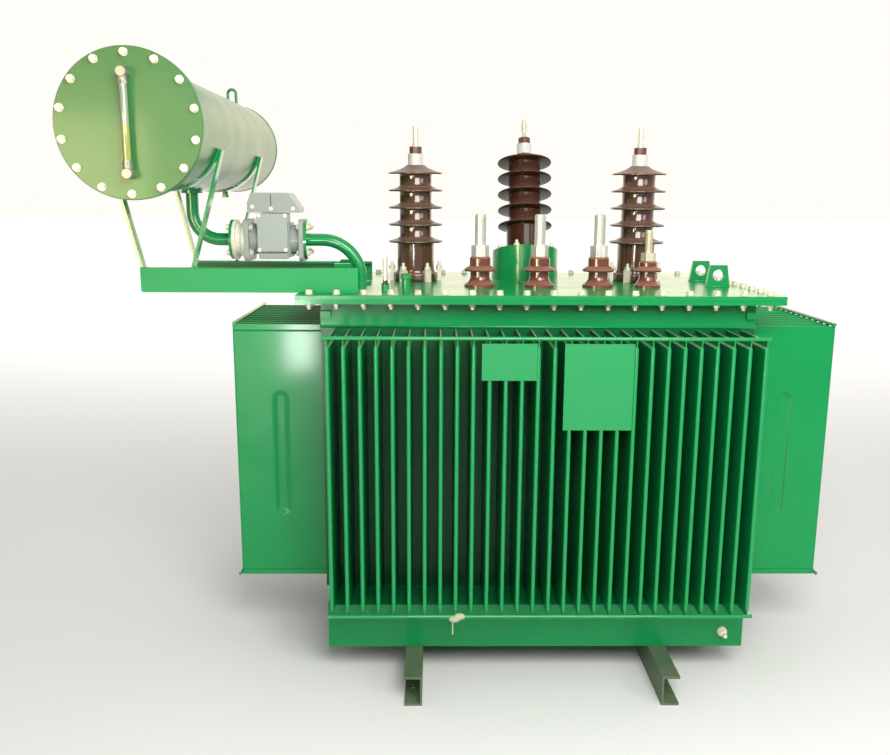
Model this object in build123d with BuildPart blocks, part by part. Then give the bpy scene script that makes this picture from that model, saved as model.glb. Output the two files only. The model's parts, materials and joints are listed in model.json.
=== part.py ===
from build123d import *
import os
from math import asin, atan2, cos, degrees, hypot, radians, sin, sqrt

# Oil-filled power transformer: corrugated tank, conservator drum and porcelain bushings.
# Millimetres, +Z up, front is -Y, origin on the floor midway between the base rails.

os.makedirs("parts", exist_ok=True)

# Fins and tank
FIN_PITCH = 50
FRONT_FINS = 28
SIDE_FINS = 12
END_MARGIN = 45
SIDE_MARGIN = 99
FRONT_FIN_DEPTH = 246
SIDE_FIN_DEPTH = 314
FIN_HEIGHT = 908
FIN_THICKNESS = 13
FIN_SEAM = 4
FIN_SEAM_HEIGHT = 18
FIN_TAPER = 6
BEAD_LENGTH = 435
BEAD_WIDTH = 44
BEAD_DEPTH = 2.5
WALL_SHEET = 5
WALL_ABOVE_FINS = 8
BAR_RADIUS = 6
BAR_INSET = 8
TANK_LENGTH = (FRONT_FINS - 1) * FIN_PITCH + 2 * END_MARGIN
TANK_WIDTH = (SIDE_FINS - 1) * FIN_PITCH + 2 * SIDE_MARGIN

# Base
RAIL_GAUGE = 820
RAIL_HEIGHT = 100
RAIL_WIDTH = 56
RAIL_WEB = 6
RAIL_FLANGE = 8
RAIL_LENGTH = 1452
FOUNDATION_END = 101
FOUNDATION_SPACING = RAIL_LENGTH - 2 * FOUNDATION_END
FOUNDATION_HOLE_RADIUS = 10
BASE_INSET_X = 22
BASE_REACH_Y = 153
BASE_HEIGHT = 151
BASE_PLATE = 8
BASE_LENGTH = TANK_LENGTH - 2 * BASE_INSET_X
BASE_WIDTH = TANK_WIDTH + 2 * BASE_REACH_Y
FIN_BOTTOM = RAIL_HEIGHT + BASE_HEIGHT
FIN_TOP = FIN_BOTTOM + FIN_HEIGHT
WALL_TOP = FIN_TOP + WALL_ABOVE_FINS

# Rim, gasket and lid
RIM_BAND = 82
RIM_WALL = 8
RIM_FLANGE = 12
RIM_OVERHANG = 73
CLEAT_WIDTH = 34
CLEAT_HEIGHT = 23
CLEAT_DEPTH = 16
GASKET = 3
GASKET_INSET = 1
LID_THICKNESS = 14
LID_LENGTH = TANK_LENGTH + 2 * RIM_OVERHANG
LID_WIDTH = TANK_WIDTH + 2 * RIM_OVERHANG
LID_BOTTOM = WALL_TOP + RIM_BAND + RIM_FLANGE + GASKET
LID_TOP = LID_BOTTOM + LID_THICKNESS

# Lifting lugs
LUG_X = 670
LUG_Y = 107
LUG_FOOT = 85
LUG_CROWN = 61
LUG_HEIGHT = 76
LUG_THICKNESS = 14
LUG_HOLE_RADIUS = 20
LUG_HOLE_HEIGHT = 40

# High-voltage bushings
HV_X = 416
HV_Y = 95
HV_FOOT_RADIUS = 82
HV_FOOT_HEIGHT = 30
HV_LOWER_RADIUS = 70
HV_BODY_RADIUS = 61
HV_SHED_RADIUS = 103
HV_SHED_COUNT = 5
HV_SHED_FIRST = 149
HV_SHED_PITCH = 62
HV_SHED_RISE = 26
HV_SHED_RIM = 7
HV_NECK_RADIUS = 34
HV_TOP = 424
HV_CAP_RADIUS = 28.5
HV_CAP_HEIGHT = 41
HV_NUT_RADIUS = 23
HV_NUT_HEIGHT = 25
HV_CONE_HEIGHT = 20
HV_STUD_RADIUS = 10
HV_STUD_LENGTH = 53
CLAMP_COUNT = 6
CLAMP_WIDTH = 24
CLAMP_THICKNESS = 14
CLAMP_HEIGHT = 44
CLAMP_LIP = 7
CLAMP_CLEARANCE = 1

# Turret under the leaning middle bushing
TURRET_Y = 130
TURRET_RADIUS = 126
TURRET_HEIGHT = 104
TURRET_LEAN = 16.5
TURRET_POCKET = 45
POCKET_CLEARANCE = 2

# Low-voltage bushings
LV_Y = -145
LV_PHASE_X = (-185, 24, 233)
LV_NEUTRAL_X = 408
LV_BASE_RADIUS = 54.5
LV_WAIST_RADIUS = 34
LV_SHED_RADIUS = 56.5
LV_SHED_HEIGHT = 60
LV_COLLAR_RADIUS = 36.5
LV_TOP = 106
LV_NUT_RADIUS = 31
LV_NUT_HEIGHT = 39
LV_STUD_RADIUS = 19
LV_STUD_LENGTH = 107
NEUTRAL_SCALE = 0.86
NEUTRAL_TOP = 93
NEUTRAL_NUT_HEIGHT = 27
NEUTRAL_STUD_RADIUS = 12.5
NEUTRAL_STUD_LENGTH = 80

# Small lid fittings
FITTING_Y = -289
POCKET_X = -441
POCKET_RADIUS = 14
POCKET_HEIGHT = 40
POCKET_HEAD_RADIUS = 19
POCKET_HEAD_HEIGHT = 15
PLUG_X = -511
PLUG_RADIUS = 13
PLUG_HEIGHT = 24
PLUG_ROD_RADIUS = 8
PLUG_ROD_HEIGHT = 86

# Conservator
DRUM_X = -1206
DRUM_HEIGHT = 507
DRUM_RADIUS = 178.5
DRUM_WALL = 5
DRUM_FRONT = -670
DRUM_BACK = 680
DRUM_CROWN = 25
DRUM_EDGE = 6
FLANGE_RADIUS = 210
FLANGE_THICKNESS = 16
COVER_THICKNESS = 14
DRUM_Z = LID_TOP + DRUM_HEIGHT
COVER_FACE = DRUM_FRONT - FLANGE_THICKNESS - COVER_THICKNESS
GAUGE_HALF = 137
GAUGE_STANDOFF = 24
GAUGE_FITTING_RADIUS = 15
GAUGE_FITTING_LENGTH = 40
GAUGE_TUBE_RADIUS = 11
EYE_Y = 660
EYE_ROD_RADIUS = 6
EYE_WIDTH = 46
EYE_HEIGHT = 70
DRAIN_Y = 460
DRAIN_RADIUS = 11
DRAIN_NECK = 16
DRAIN_HEAD_RADIUS = 13
DRAIN_HEAD = 10
SEAT_GAP = 0.3

# Beams and cradles under the conservator
BEAM_HEIGHT = 78
REAR_BEAM_HEIGHT = 54
BEAM_WIDTH = 43
BEAM_WEB = 5
BEAM_FLANGE = 7
BEAM_OVERLAP = 197
BEAM_REACH = 97
BEAM_FRONT_Y = -377
BEAM_REAR_Y = 323
BEAM_END_CUT = 5
STRAP_THICKNESS = 6
LEG_THICKNESS = 8
LEG_WIDTH = 38
LEFT_LEG_FOOT = -91
RIGHT_LEG_FOOT = 72

# Oil pipe, valve and gas relay
PIPE_RADIUS = 22
PIPE_BEND = 95
LID_PIPE_BEND = 135
PIPE_FLANGE_RADIUS = 70
PIPE_FLANGE = 10
PIPE_COLLAR_RADIUS = 38
PIPE_COLLAR = 10
RELAY_Y = -60
RELAY_HEIGHT = 157
RELAY_X = -910
RELAY_LENGTH = 206
RELAY_FLANGE_SIZE = 146
RELAY_CORNER = 18
RELAY_FLANGE = 15
RELAY_BODY_WIDTH = 112
RELAY_BODY_DEPTH = 120
RELAY_BODY_HEIGHT = 120
RELAY_NECK = 36
RELAY_NECK_INSET = 12
RELAY_HEAD_WIDTH = 180
RELAY_HEAD_DEPTH = 128
RELAY_HEAD_HEIGHT = 68
RELAY_HEAD_EDGE = 14
RELAY_HEAD_SLOPE = 36
VALVE_LENGTH = 46
VALVE_FLANGE = 12
VALVE_WAIST_RADIUS = 58
RELAY_Z = LID_TOP + RELAY_HEIGHT
RELAY_LEFT = RELAY_X - RELAY_LENGTH / 2
RELAY_RIGHT = RELAY_X + RELAY_LENGTH / 2
LID_PIPE_RUN = 60

# Earth stud
EARTH_X = 628
EARTH_Z = 155
EARTH_RADIUS = 6
EARTH_LENGTH = 34
EARTH_PAD_RADIUS = 16
EARTH_PAD = 8


def save(builder, name):
    """Label a finished piece and write its file."""
    builder.part.label = name
    export_step(builder.part, f"parts/{name}.step")


def base_rail(side):
    """Channel along Y with its web towards the middle and its flanges outwards."""
    hole_x = side * (RAIL_GAUGE / 2 + RAIL_WEB / 2)
    with BuildPart() as rail:
        with BuildSketch(Plane.XZ):
            with Locations((side * RAIL_GAUGE / 2, RAIL_HEIGHT / 2)):
                Rectangle(RAIL_WIDTH, RAIL_HEIGHT)
            with Locations((hole_x, RAIL_HEIGHT / 2)):
                Rectangle(RAIL_WIDTH - RAIL_WEB, RAIL_HEIGHT - 2 * RAIL_FLANGE, mode=Mode.SUBTRACT)
        extrude(amount=RAIL_LENGTH / 2, both=True)
        with BuildSketch(Plane.XY):
            with Locations((hole_x, 0)):
                with GridLocations(0, FOUNDATION_SPACING, 1, 2):
                    Circle(FOUNDATION_HOLE_RADIUS)
        extrude(amount=RAIL_FLANGE, mode=Mode.SUBTRACT)
    return rail


def fin_plan(depth, thickness):
    """Plan of one fin: root in the wall sheet, rounded nose towards -Y."""
    half = thickness / 2
    with BuildSketch() as plan:
        with BuildLine():
            Line((half, WALL_SHEET / 2), (-half, WALL_SHEET / 2))
            Line((-half, WALL_SHEET / 2), (-half, half - depth))
            ThreePointArc((-half, half - depth), (0, -depth), (half, half - depth))
            Line((half, half - depth), (half, WALL_SHEET / 2))
        make_face()
    return plan.sketch


def fin(depth, bead_sides):
    """One hollow-pressed fin, pinched to a flat seam at both ends, with a bead on the sides named."""
    full_plan = fin_plan(depth, FIN_THICKNESS)
    end_plan = fin_plan(depth, FIN_SEAM)
    pinch = FIN_SEAM_HEIGHT + FIN_TAPER
    with BuildPart() as one_fin:
        with BuildSketch(Plane.XY.offset(FIN_BOTTOM + pinch)):
            add(full_plan)
        extrude(amount=FIN_HEIGHT - 2 * pinch)
        for end_z, inward in ((FIN_BOTTOM, 1), (FIN_TOP, -1)):
            seam_z = end_z + inward * FIN_SEAM_HEIGHT
            with BuildSketch(Plane.XY.offset(seam_z + inward * FIN_TAPER)):
                add(full_plan)
            with BuildSketch(Plane.XY.offset(seam_z)):
                add(end_plan)
            loft(ruled=True)
            with BuildSketch(Plane.XY.offset(end_z)):
                add(end_plan)
            extrude(amount=inward * FIN_SEAM_HEIGHT)
        for side in bead_sides:
            centre = (side * FIN_THICKNESS / 2, -depth / 2, FIN_BOTTOM + FIN_HEIGHT / 2)
            with BuildSketch(Plane(centre, x_dir=(0, 0, 1), z_dir=(side, 0, 0))):
                SlotOverall(BEAD_LENGTH, BEAD_WIDTH)
            extrude(amount=-BEAD_DEPTH, mode=Mode.SUBTRACT)
    return one_fin.part


def fin_wall(plane, length, count, depth):
    """Wall sheet on a plane whose -y side is outside, with its row of fins."""
    last = (count - 1) / 2 * FIN_PITCH
    plain_fin = fin(depth, ())
    end_fins = {end: fin(depth, (end,)) for end in (-1, 1)}
    with BuildPart() as wall:
        with BuildSketch(plane.offset(FIN_BOTTOM)):
            Rectangle(length, WALL_SHEET, align=(Align.CENTER, Align.MIN))
        extrude(amount=WALL_TOP - FIN_BOTTOM)
        with Locations(plane.location):
            with GridLocations(FIN_PITCH, 0, count - 2, 1):
                add(plain_fin)
        for end, end_fin in end_fins.items():
            with Locations(plane.location * Location((end * last, 0, 0))):
                add(end_fin)
    return wall


def fin_bars(plane, count, depth):
    """Two round bars along the fin tips, one above and one in front of the lower ends."""
    length = (count - 1) * FIN_PITCH + 2 * FIN_THICKNESS
    upper = (BAR_INSET - depth, FIN_TOP + BAR_RADIUS)
    lower = (-depth - BAR_RADIUS, FIN_BOTTOM + BAR_RADIUS)
    with BuildPart() as bars:
        for y, z in (upper, lower):
            centre = plane.from_local_coords(Vector(0, y, z))
            with BuildSketch(Plane(centre, z_dir=plane.x_dir)):
                Circle(BAR_RADIUS)
            extrude(amount=length / 2, both=True)
    return bars


def hv_porcelain(seat):
    """High-voltage porcelain on a seat plane: foot, lower body and five sheds."""
    points = [(0, 0), (HV_FOOT_RADIUS, 0), (HV_FOOT_RADIUS, HV_FOOT_HEIGHT - 8)]
    points += [(HV_LOWER_RADIUS + 4, HV_FOOT_HEIGHT), (HV_LOWER_RADIUS, HV_FOOT_HEIGHT + 14)]
    points += [(HV_LOWER_RADIUS, HV_SHED_FIRST - HV_SHED_RIM - 4)]
    for index in range(HV_SHED_COUNT):
        z = HV_SHED_FIRST + index * HV_SHED_PITCH
        root = HV_NECK_RADIUS if index == HV_SHED_COUNT - 1 else HV_BODY_RADIUS
        points += [(HV_SHED_RADIUS - 4, z - HV_SHED_RIM), (HV_SHED_RADIUS, z - HV_SHED_RIM / 2)]
        points += [(HV_SHED_RADIUS - 2, z), (HV_BODY_RADIUS + 4, z + HV_SHED_RISE - 6)]
        points += [(root, z + HV_SHED_RISE)]
        if index < HV_SHED_COUNT - 1:
            points += [(HV_BODY_RADIUS, z + HV_SHED_PITCH - HV_SHED_RIM - 3)]
    points += [(HV_NECK_RADIUS, HV_TOP), (0, HV_TOP)]
    with BuildPart() as porcelain:
        with BuildSketch(Plane(seat.origin, x_dir=seat.x_dir, z_dir=-seat.y_dir)):
            with BuildLine():
                Polyline(points, close=True)
            make_face()
        revolve(axis=Axis(seat.origin, seat.z_dir))
    return porcelain


def hv_terminal(seat):
    """Cap, nut and stud on top of a high-voltage porcelain."""
    nut = HV_TOP + HV_CAP_HEIGHT
    cone = nut + HV_NUT_HEIGHT
    stud = cone + HV_CONE_HEIGHT
    tip = stud + HV_STUD_LENGTH
    with BuildPart() as terminal:
        with BuildSketch(Plane(seat.origin, x_dir=seat.x_dir, z_dir=-seat.y_dir)):
            with BuildLine():
                Polyline(
                    (0, HV_TOP),
                    (HV_CAP_RADIUS, HV_TOP),
                    (HV_CAP_RADIUS, nut),
                    (HV_NUT_RADIUS, nut),
                    (HV_NUT_RADIUS, cone),
                    (HV_STUD_RADIUS + 6, cone),
                    (HV_STUD_RADIUS, stud),
                    (HV_STUD_RADIUS, tip - 2),
                    (HV_STUD_RADIUS - 2, tip),
                    (0, tip),
                    close=True,
                )
            make_face()
        revolve(axis=Axis(seat.origin, seat.z_dir))
    return terminal


def hv_clamps(seat):
    """Clamp claws round a porcelain foot: a post on the lid with a lip over the foot."""
    inner = HV_FOOT_RADIUS + CLAMP_CLEARANCE
    outer = inner + CLAMP_THICKNESS
    lip = HV_FOOT_HEIGHT + CLAMP_CLEARANCE
    with BuildPart() as clamps:
        for turn in range(CLAMP_COUNT):
            claw = seat.rotated((0, 0, 360 / CLAMP_COUNT * turn))
            with BuildSketch(Plane(claw.origin, x_dir=claw.x_dir, z_dir=-claw.y_dir)):
                with BuildLine():
                    Polyline(
                        (inner, 0),
                        (outer, 0),
                        (outer, CLAMP_HEIGHT),
                        (inner - CLAMP_LIP, CLAMP_HEIGHT - 4),
                        (inner - CLAMP_LIP, lip),
                        (inner, lip),
                        close=True,
                    )
                make_face()
            extrude(amount=CLAMP_WIDTH / 2, both=True)
    return clamps


def lv_porcelain(x, scale, top):
    """Low-voltage porcelain: flared base, one shed and a collar."""
    base = Plane((x, LV_Y, LID_TOP))
    with BuildPart() as porcelain:
        with BuildSketch(Plane(base.origin, x_dir=(1, 0, 0), z_dir=(0, -1, 0))):
            with BuildLine():
                Line((0, 0), (LV_BASE_RADIUS * scale, 0))
                Line((LV_BASE_RADIUS * scale, 0), (LV_BASE_RADIUS * scale, 8))
                ThreePointArc(
                    (LV_BASE_RADIUS * scale, 8),
                    (LV_WAIST_RADIUS * scale + 6, 20),
                    (LV_WAIST_RADIUS * scale, 38),
                )
                Polyline(
                    (LV_WAIST_RADIUS * scale, 38),
                    (LV_WAIST_RADIUS * scale, LV_SHED_HEIGHT - 7),
                    (LV_SHED_RADIUS * scale - 3, LV_SHED_HEIGHT - 5),
                    (LV_SHED_RADIUS * scale, LV_SHED_HEIGHT),
                    (LV_SHED_RADIUS * scale - 5, LV_SHED_HEIGHT + 5),
                    (LV_COLLAR_RADIUS * scale, LV_SHED_HEIGHT + 14),
                    (LV_COLLAR_RADIUS * scale, top - 6),
                    (LV_COLLAR_RADIUS * scale - 6, top),
                    (0, top),
                    (0, 0),
                )
            make_face()
        revolve(axis=Axis(base.origin, base.z_dir))
    return porcelain


def lv_terminal(x, scale, top, nut, stud_radius, stud_length):
    """Hexagon nut and round stud on top of a low-voltage porcelain."""
    seat = Plane((x, LV_Y, LID_TOP + top))
    with BuildPart() as terminal:
        with BuildSketch(seat):
            RegularPolygon(LV_NUT_RADIUS * scale, 6)
        extrude(amount=nut)
        with BuildSketch(seat.offset(nut)):
            Circle(stud_radius)
        extrude(amount=stud_length)
        chamfer(terminal.faces().sort_by(Axis.Z)[-1].edges(), length=2.5)
    return terminal


def lifting_lug(x, y):
    """Tapered plate standing on the lid, with its eye along Y."""
    with BuildPart() as lug:
        with BuildSketch(Plane.XZ.offset(-y)):
            with BuildLine():
                Polyline(
                    (x - LUG_FOOT / 2, LID_TOP),
                    (x + LUG_FOOT / 2, LID_TOP),
                    (x + LUG_CROWN / 2, LID_TOP + LUG_HEIGHT),
                    (x - LUG_CROWN / 2, LID_TOP + LUG_HEIGHT),
                    close=True,
                )
            make_face()
            with Locations((x, LID_TOP + LUG_HOLE_HEIGHT)):
                Circle(LUG_HOLE_RADIUS, mode=Mode.SUBTRACT)
        extrude(amount=LUG_THICKNESS / 2, both=True)
    return lug


def beam(y, inside, height):
    """Channel on the lid reaching out under the drum, flanges towards the inside."""
    left = DRUM_X - BEAM_REACH
    right = BEAM_OVERLAP - LID_LENGTH / 2
    with BuildPart() as channel:
        with BuildSketch(Plane.YZ.offset(left)):
            with Locations((y + inside * BEAM_WIDTH / 2, LID_TOP + height / 2)):
                Rectangle(BEAM_WIDTH, height)
            with Locations((y + inside * (BEAM_WIDTH + BEAM_WEB) / 2, LID_TOP + height / 2)):
                Rectangle(BEAM_WIDTH - BEAM_WEB, height - 2 * BEAM_FLANGE, mode=Mode.SUBTRACT)
        extrude(amount=right - left)
        lowest = channel.edges().filter_by(Axis.Y).group_by(Axis.X)[0].group_by(Axis.Z)[0]
        chamfer(lowest, length=BEAM_END_CUT)
    return channel


def leg_tangent(foot, side, height):
    """Foot point, direction and length of a leg that runs up tangent to the cradle strap."""
    reach = DRUM_RADIUS + SEAT_GAP + STRAP_THICKNESS + LEG_THICKNESS / 2
    across = -foot
    up = DRUM_Z - LID_TOP - height
    distance = hypot(across, up)
    angle = atan2(up, across) - side * asin(reach / distance)
    return angle, sqrt(distance**2 - reach**2)


def cradle_leg(y, foot, side, height):
    """Flat bar from the beam up to the side of the drum."""
    angle, length = leg_tangent(foot, side, height)
    x = DRUM_X + foot
    z = LID_TOP + height
    half = LEG_THICKNESS / 2
    top_x = x + length * cos(angle)
    top_z = z + length * sin(angle)
    with BuildPart() as leg:
        with BuildSketch(Plane.XZ.offset(-y)):
            with BuildLine():
                Polyline(
                    (x - half / sin(angle), z),
                    (x + half / sin(angle), z),
                    (top_x + half * sin(angle), top_z - half * cos(angle)),
                    (top_x - half * sin(angle), top_z + half * cos(angle)),
                    close=True,
                )
            make_face()
        extrude(amount=LEG_WIDTH / 2, both=True)
    return leg


def cradle_strap(y, height):
    """Curved flat bar under the drum, from one leg's top to the other's."""
    inner = DRUM_RADIUS + SEAT_GAP
    left, _ = leg_tangent(LEFT_LEG_FOOT, -1, height)
    right, _ = leg_tangent(RIGHT_LEG_FOOT, 1, height)
    start = degrees(left) + 90
    end = degrees(right) + 270
    with BuildPart() as strap:
        with BuildSketch(Plane.XZ.offset(-y)):
            with BuildLine():
                outside = CenterArc((DRUM_X, DRUM_Z), inner + STRAP_THICKNESS, start, end - start)
                inside = CenterArc((DRUM_X, DRUM_Z), inner, start, end - start)
                Line(outside @ 0, inside @ 0)
                Line(outside @ 1, inside @ 1)
            make_face()
        extrude(amount=LEG_WIDTH / 2, both=True)
    return strap


def drum_seat():
    """The round space that the drum takes up, with the seat gap round it."""
    with BuildPart() as seat:
        with BuildSketch(Plane.XZ):
            with Locations((DRUM_X, DRUM_Z)):
                Circle(DRUM_RADIUS + SEAT_GAP)
        extrude(amount=DRUM_BACK, both=True)
    return seat.part


def bent_eye(y):
    """Bent round bar standing on the drum as an inverted U."""
    foot = DRUM_Z + DRUM_RADIUS + SEAT_GAP
    half = EYE_WIDTH / 2 - EYE_ROD_RADIUS
    bend = foot + EYE_HEIGHT - EYE_ROD_RADIUS - half
    seat = drum_seat()
    with BuildPart() as eye:
        with BuildLine(Plane.XZ.offset(-y)) as path:
            Line((DRUM_X - half, foot - 5), (DRUM_X - half, bend))
            ThreePointArc((DRUM_X - half, bend), (DRUM_X, bend + half), (DRUM_X + half, bend))
            Line((DRUM_X + half, bend), (DRUM_X + half, foot - 5))
        with BuildSketch(Plane(path.line @ 0, z_dir=path.line % 0)):
            Circle(EYE_ROD_RADIUS)
        sweep()
        add(seat, mode=Mode.SUBTRACT)
    return eye


# Base
for side_name, side_sign in (("left", -1), ("right", 1)):
    save(base_rail(side_sign), f"{side_name}_base_rail")

with BuildPart() as base_frame:
    with BuildSketch(Plane.XY.offset(RAIL_HEIGHT)):
        Rectangle(BASE_LENGTH, BASE_WIDTH)
    extrude(amount=BASE_HEIGHT)
    offset(amount=-BASE_PLATE, openings=base_frame.faces().sort_by(Axis.Z)[0])
save(base_frame, "base_frame")

with BuildPart() as earth_stud:
    with BuildSketch(Plane((EARTH_X, -BASE_WIDTH / 2, EARTH_Z), z_dir=(0, -1, 0))):
        Circle(EARTH_PAD_RADIUS)
    extrude(amount=EARTH_PAD)
    with BuildSketch(Plane((EARTH_X, -BASE_WIDTH / 2 - EARTH_PAD, EARTH_Z), z_dir=(0, -1, 0))):
        Circle(EARTH_RADIUS)
    extrude(amount=EARTH_LENGTH)
save(earth_stud, "earth_stud")

# Tank walls
wall_planes = {
    "front": (Plane((0, -TANK_WIDTH / 2, 0), x_dir=(1, 0, 0), z_dir=(0, 0, 1)), FRONT_FINS, FRONT_FIN_DEPTH),
    "back": (Plane((0, TANK_WIDTH / 2, 0), x_dir=(-1, 0, 0), z_dir=(0, 0, 1)), FRONT_FINS, FRONT_FIN_DEPTH),
    "left": (Plane((-TANK_LENGTH / 2, 0, 0), x_dir=(0, -1, 0), z_dir=(0, 0, 1)), SIDE_FINS, SIDE_FIN_DEPTH),
    "right": (Plane((TANK_LENGTH / 2, 0, 0), x_dir=(0, 1, 0), z_dir=(0, 0, 1)), SIDE_FINS, SIDE_FIN_DEPTH),
}
for wall_name, (wall_plane, fin_count, fin_depth) in wall_planes.items():
    wall_length = TANK_LENGTH if fin_count == FRONT_FINS else TANK_WIDTH - 2 * WALL_SHEET
    save(fin_wall(wall_plane, wall_length, fin_count, fin_depth), f"{wall_name}_fin_wall")
    save(fin_bars(wall_plane, fin_count, fin_depth), f"{wall_name}_fin_bars")

# Rim, gasket and lid
with BuildPart() as tank_rim:
    with BuildSketch(Plane.XY.offset(WALL_TOP)):
        Rectangle(TANK_LENGTH, TANK_WIDTH)
        Rectangle(TANK_LENGTH - 2 * RIM_WALL, TANK_WIDTH - 2 * RIM_WALL, mode=Mode.SUBTRACT)
    extrude(amount=RIM_BAND)
    with BuildSketch(Plane.XY.offset(WALL_TOP + RIM_BAND)):
        Rectangle(LID_LENGTH, LID_WIDTH)
        Rectangle(TANK_LENGTH - 2 * RIM_WALL, TANK_WIDTH - 2 * RIM_WALL, mode=Mode.SUBTRACT)
    extrude(amount=RIM_FLANGE)
save(tank_rim, "tank_rim")

with BuildPart() as rim_cleats:
    for cleat_sign in (1, -1):
        with BuildSketch(Plane.XZ.offset(cleat_sign * TANK_WIDTH / 2)):
            with Locations((0, WALL_TOP + RIM_BAND / 2)):
                with GridLocations(TANK_LENGTH - CLEAT_WIDTH, 0, 2, 1):
                    Rectangle(CLEAT_WIDTH, CLEAT_HEIGHT)
        extrude(amount=cleat_sign * CLEAT_DEPTH)
save(rim_cleats, "rim_cleats")

with BuildPart() as lid_gasket:
    with BuildSketch(Plane.XY.offset(LID_BOTTOM - GASKET)):
        Rectangle(LID_LENGTH - 2 * GASKET_INSET, LID_WIDTH - 2 * GASKET_INSET)
        Rectangle(TANK_LENGTH, TANK_WIDTH, mode=Mode.SUBTRACT)
    extrude(amount=GASKET)
save(lid_gasket, "lid_gasket")

with BuildPart() as lid:
    with BuildSketch(Plane.XY.offset(LID_BOTTOM)):
        Rectangle(LID_LENGTH, LID_WIDTH)
    extrude(amount=LID_THICKNESS)
    chamfer(lid.faces().sort_by(Axis.Z)[-1].edges(), length=2)
save(lid, "lid")

for lug_name, lug_x, lug_y in (
    ("front_left", -LUG_X, -LUG_Y),
    ("back_left", -LUG_X, LUG_Y),
    ("front_right", LUG_X, -LUG_Y),
    ("back_right", LUG_X, LUG_Y),
):
    save(lifting_lug(lug_x, lug_y), f"{lug_name}_lifting_lug")

# High-voltage bushings
lean = radians(TURRET_LEAN)
turret_top = Plane((0, TURRET_Y, LID_TOP + TURRET_HEIGHT), x_dir=(1, 0, 0), z_dir=(0, sin(lean), cos(lean)))
hv_seats = {
    "left": Plane((-HV_X, HV_Y, LID_TOP)),
    "middle": turret_top.offset(-TURRET_POCKET),
    "right": Plane((HV_X, HV_Y, LID_TOP)),
}
for hv_name, hv_seat in hv_seats.items():
    save(hv_porcelain(hv_seat), f"{hv_name}_hv_bushing")
    save(hv_terminal(hv_seat), f"{hv_name}_hv_terminal")
for hv_name in ("left", "right"):
    save(hv_clamps(hv_seats[hv_name]), f"{hv_name}_hv_clamps")

with BuildPart() as hv_turret:
    with BuildSketch(Plane((0, TURRET_Y, LID_TOP))):
        Circle(TURRET_RADIUS)
    extrude(amount=2 * TURRET_HEIGHT)
    with BuildSketch(turret_top):
        Rectangle(4 * TURRET_RADIUS, 4 * TURRET_RADIUS)
    extrude(amount=4 * TURRET_HEIGHT, mode=Mode.SUBTRACT)
    with BuildSketch(turret_top):
        Circle(HV_FOOT_RADIUS + POCKET_CLEARANCE)
    extrude(amount=-TURRET_POCKET, mode=Mode.SUBTRACT)
save(hv_turret, "hv_turret")

# Low-voltage bushings
for lv_index, lv_x in enumerate(LV_PHASE_X, start=1):
    save(lv_porcelain(lv_x, 1, LV_TOP), f"lv_bushing_{lv_index}")
    phase_stud = lv_terminal(lv_x, 1, LV_TOP, LV_NUT_HEIGHT, LV_STUD_RADIUS, LV_STUD_LENGTH)
    save(phase_stud, f"lv_terminal_{lv_index}")
save(lv_porcelain(LV_NEUTRAL_X, NEUTRAL_SCALE, NEUTRAL_TOP), "neutral_bushing")
neutral_sizes = (NEUTRAL_TOP, NEUTRAL_NUT_HEIGHT, NEUTRAL_STUD_RADIUS, NEUTRAL_STUD_LENGTH)
save(lv_terminal(LV_NEUTRAL_X, NEUTRAL_SCALE, *neutral_sizes), "neutral_terminal")

# Small fittings on the lid
with BuildPart() as thermometer_pocket:
    with BuildSketch(Plane((POCKET_X, FITTING_Y, LID_TOP))):
        Circle(POCKET_RADIUS)
    extrude(amount=POCKET_HEIGHT)
    with BuildSketch(Plane((POCKET_X, FITTING_Y, LID_TOP + POCKET_HEIGHT))):
        RegularPolygon(POCKET_HEAD_RADIUS, 6)
    extrude(amount=POCKET_HEAD_HEIGHT)
save(thermometer_pocket, "thermometer_pocket")

with BuildPart() as lid_plug:
    with BuildSketch(Plane((PLUG_X, FITTING_Y, LID_TOP))):
        Circle(PLUG_RADIUS)
    extrude(amount=PLUG_HEIGHT)
    with BuildSketch(Plane((PLUG_X, FITTING_Y, LID_TOP + PLUG_HEIGHT))):
        Circle(PLUG_ROD_RADIUS)
    extrude(amount=PLUG_ROD_HEIGHT)
save(lid_plug, "lid_plug")

# Conservator
with BuildPart() as conservator_drum:
    with BuildSketch(Plane((DRUM_X, DRUM_FRONT, DRUM_Z), z_dir=(0, 1, 0))):
        Circle(DRUM_RADIUS)
        Circle(DRUM_RADIUS - DRUM_WALL, mode=Mode.SUBTRACT)
    extrude(amount=DRUM_BACK - DRUM_FRONT)
    with BuildSketch(Plane((DRUM_X, DRUM_FRONT, DRUM_Z), z_dir=(0, -1, 0))):
        Circle(FLANGE_RADIUS)
        Circle(DRUM_RADIUS - DRUM_WALL, mode=Mode.SUBTRACT)
    extrude(amount=FLANGE_THICKNESS)
save(conservator_drum, "conservator_drum")

with BuildPart() as conservator_cover:
    with BuildSketch(Plane((DRUM_X, DRUM_FRONT - FLANGE_THICKNESS, DRUM_Z), z_dir=(0, -1, 0))):
        Circle(FLANGE_RADIUS)
    extrude(amount=COVER_THICKNESS)
    chamfer(conservator_cover.faces().sort_by(Axis.Y)[0].edges(), length=2)
save(conservator_cover, "conservator_cover")

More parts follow.
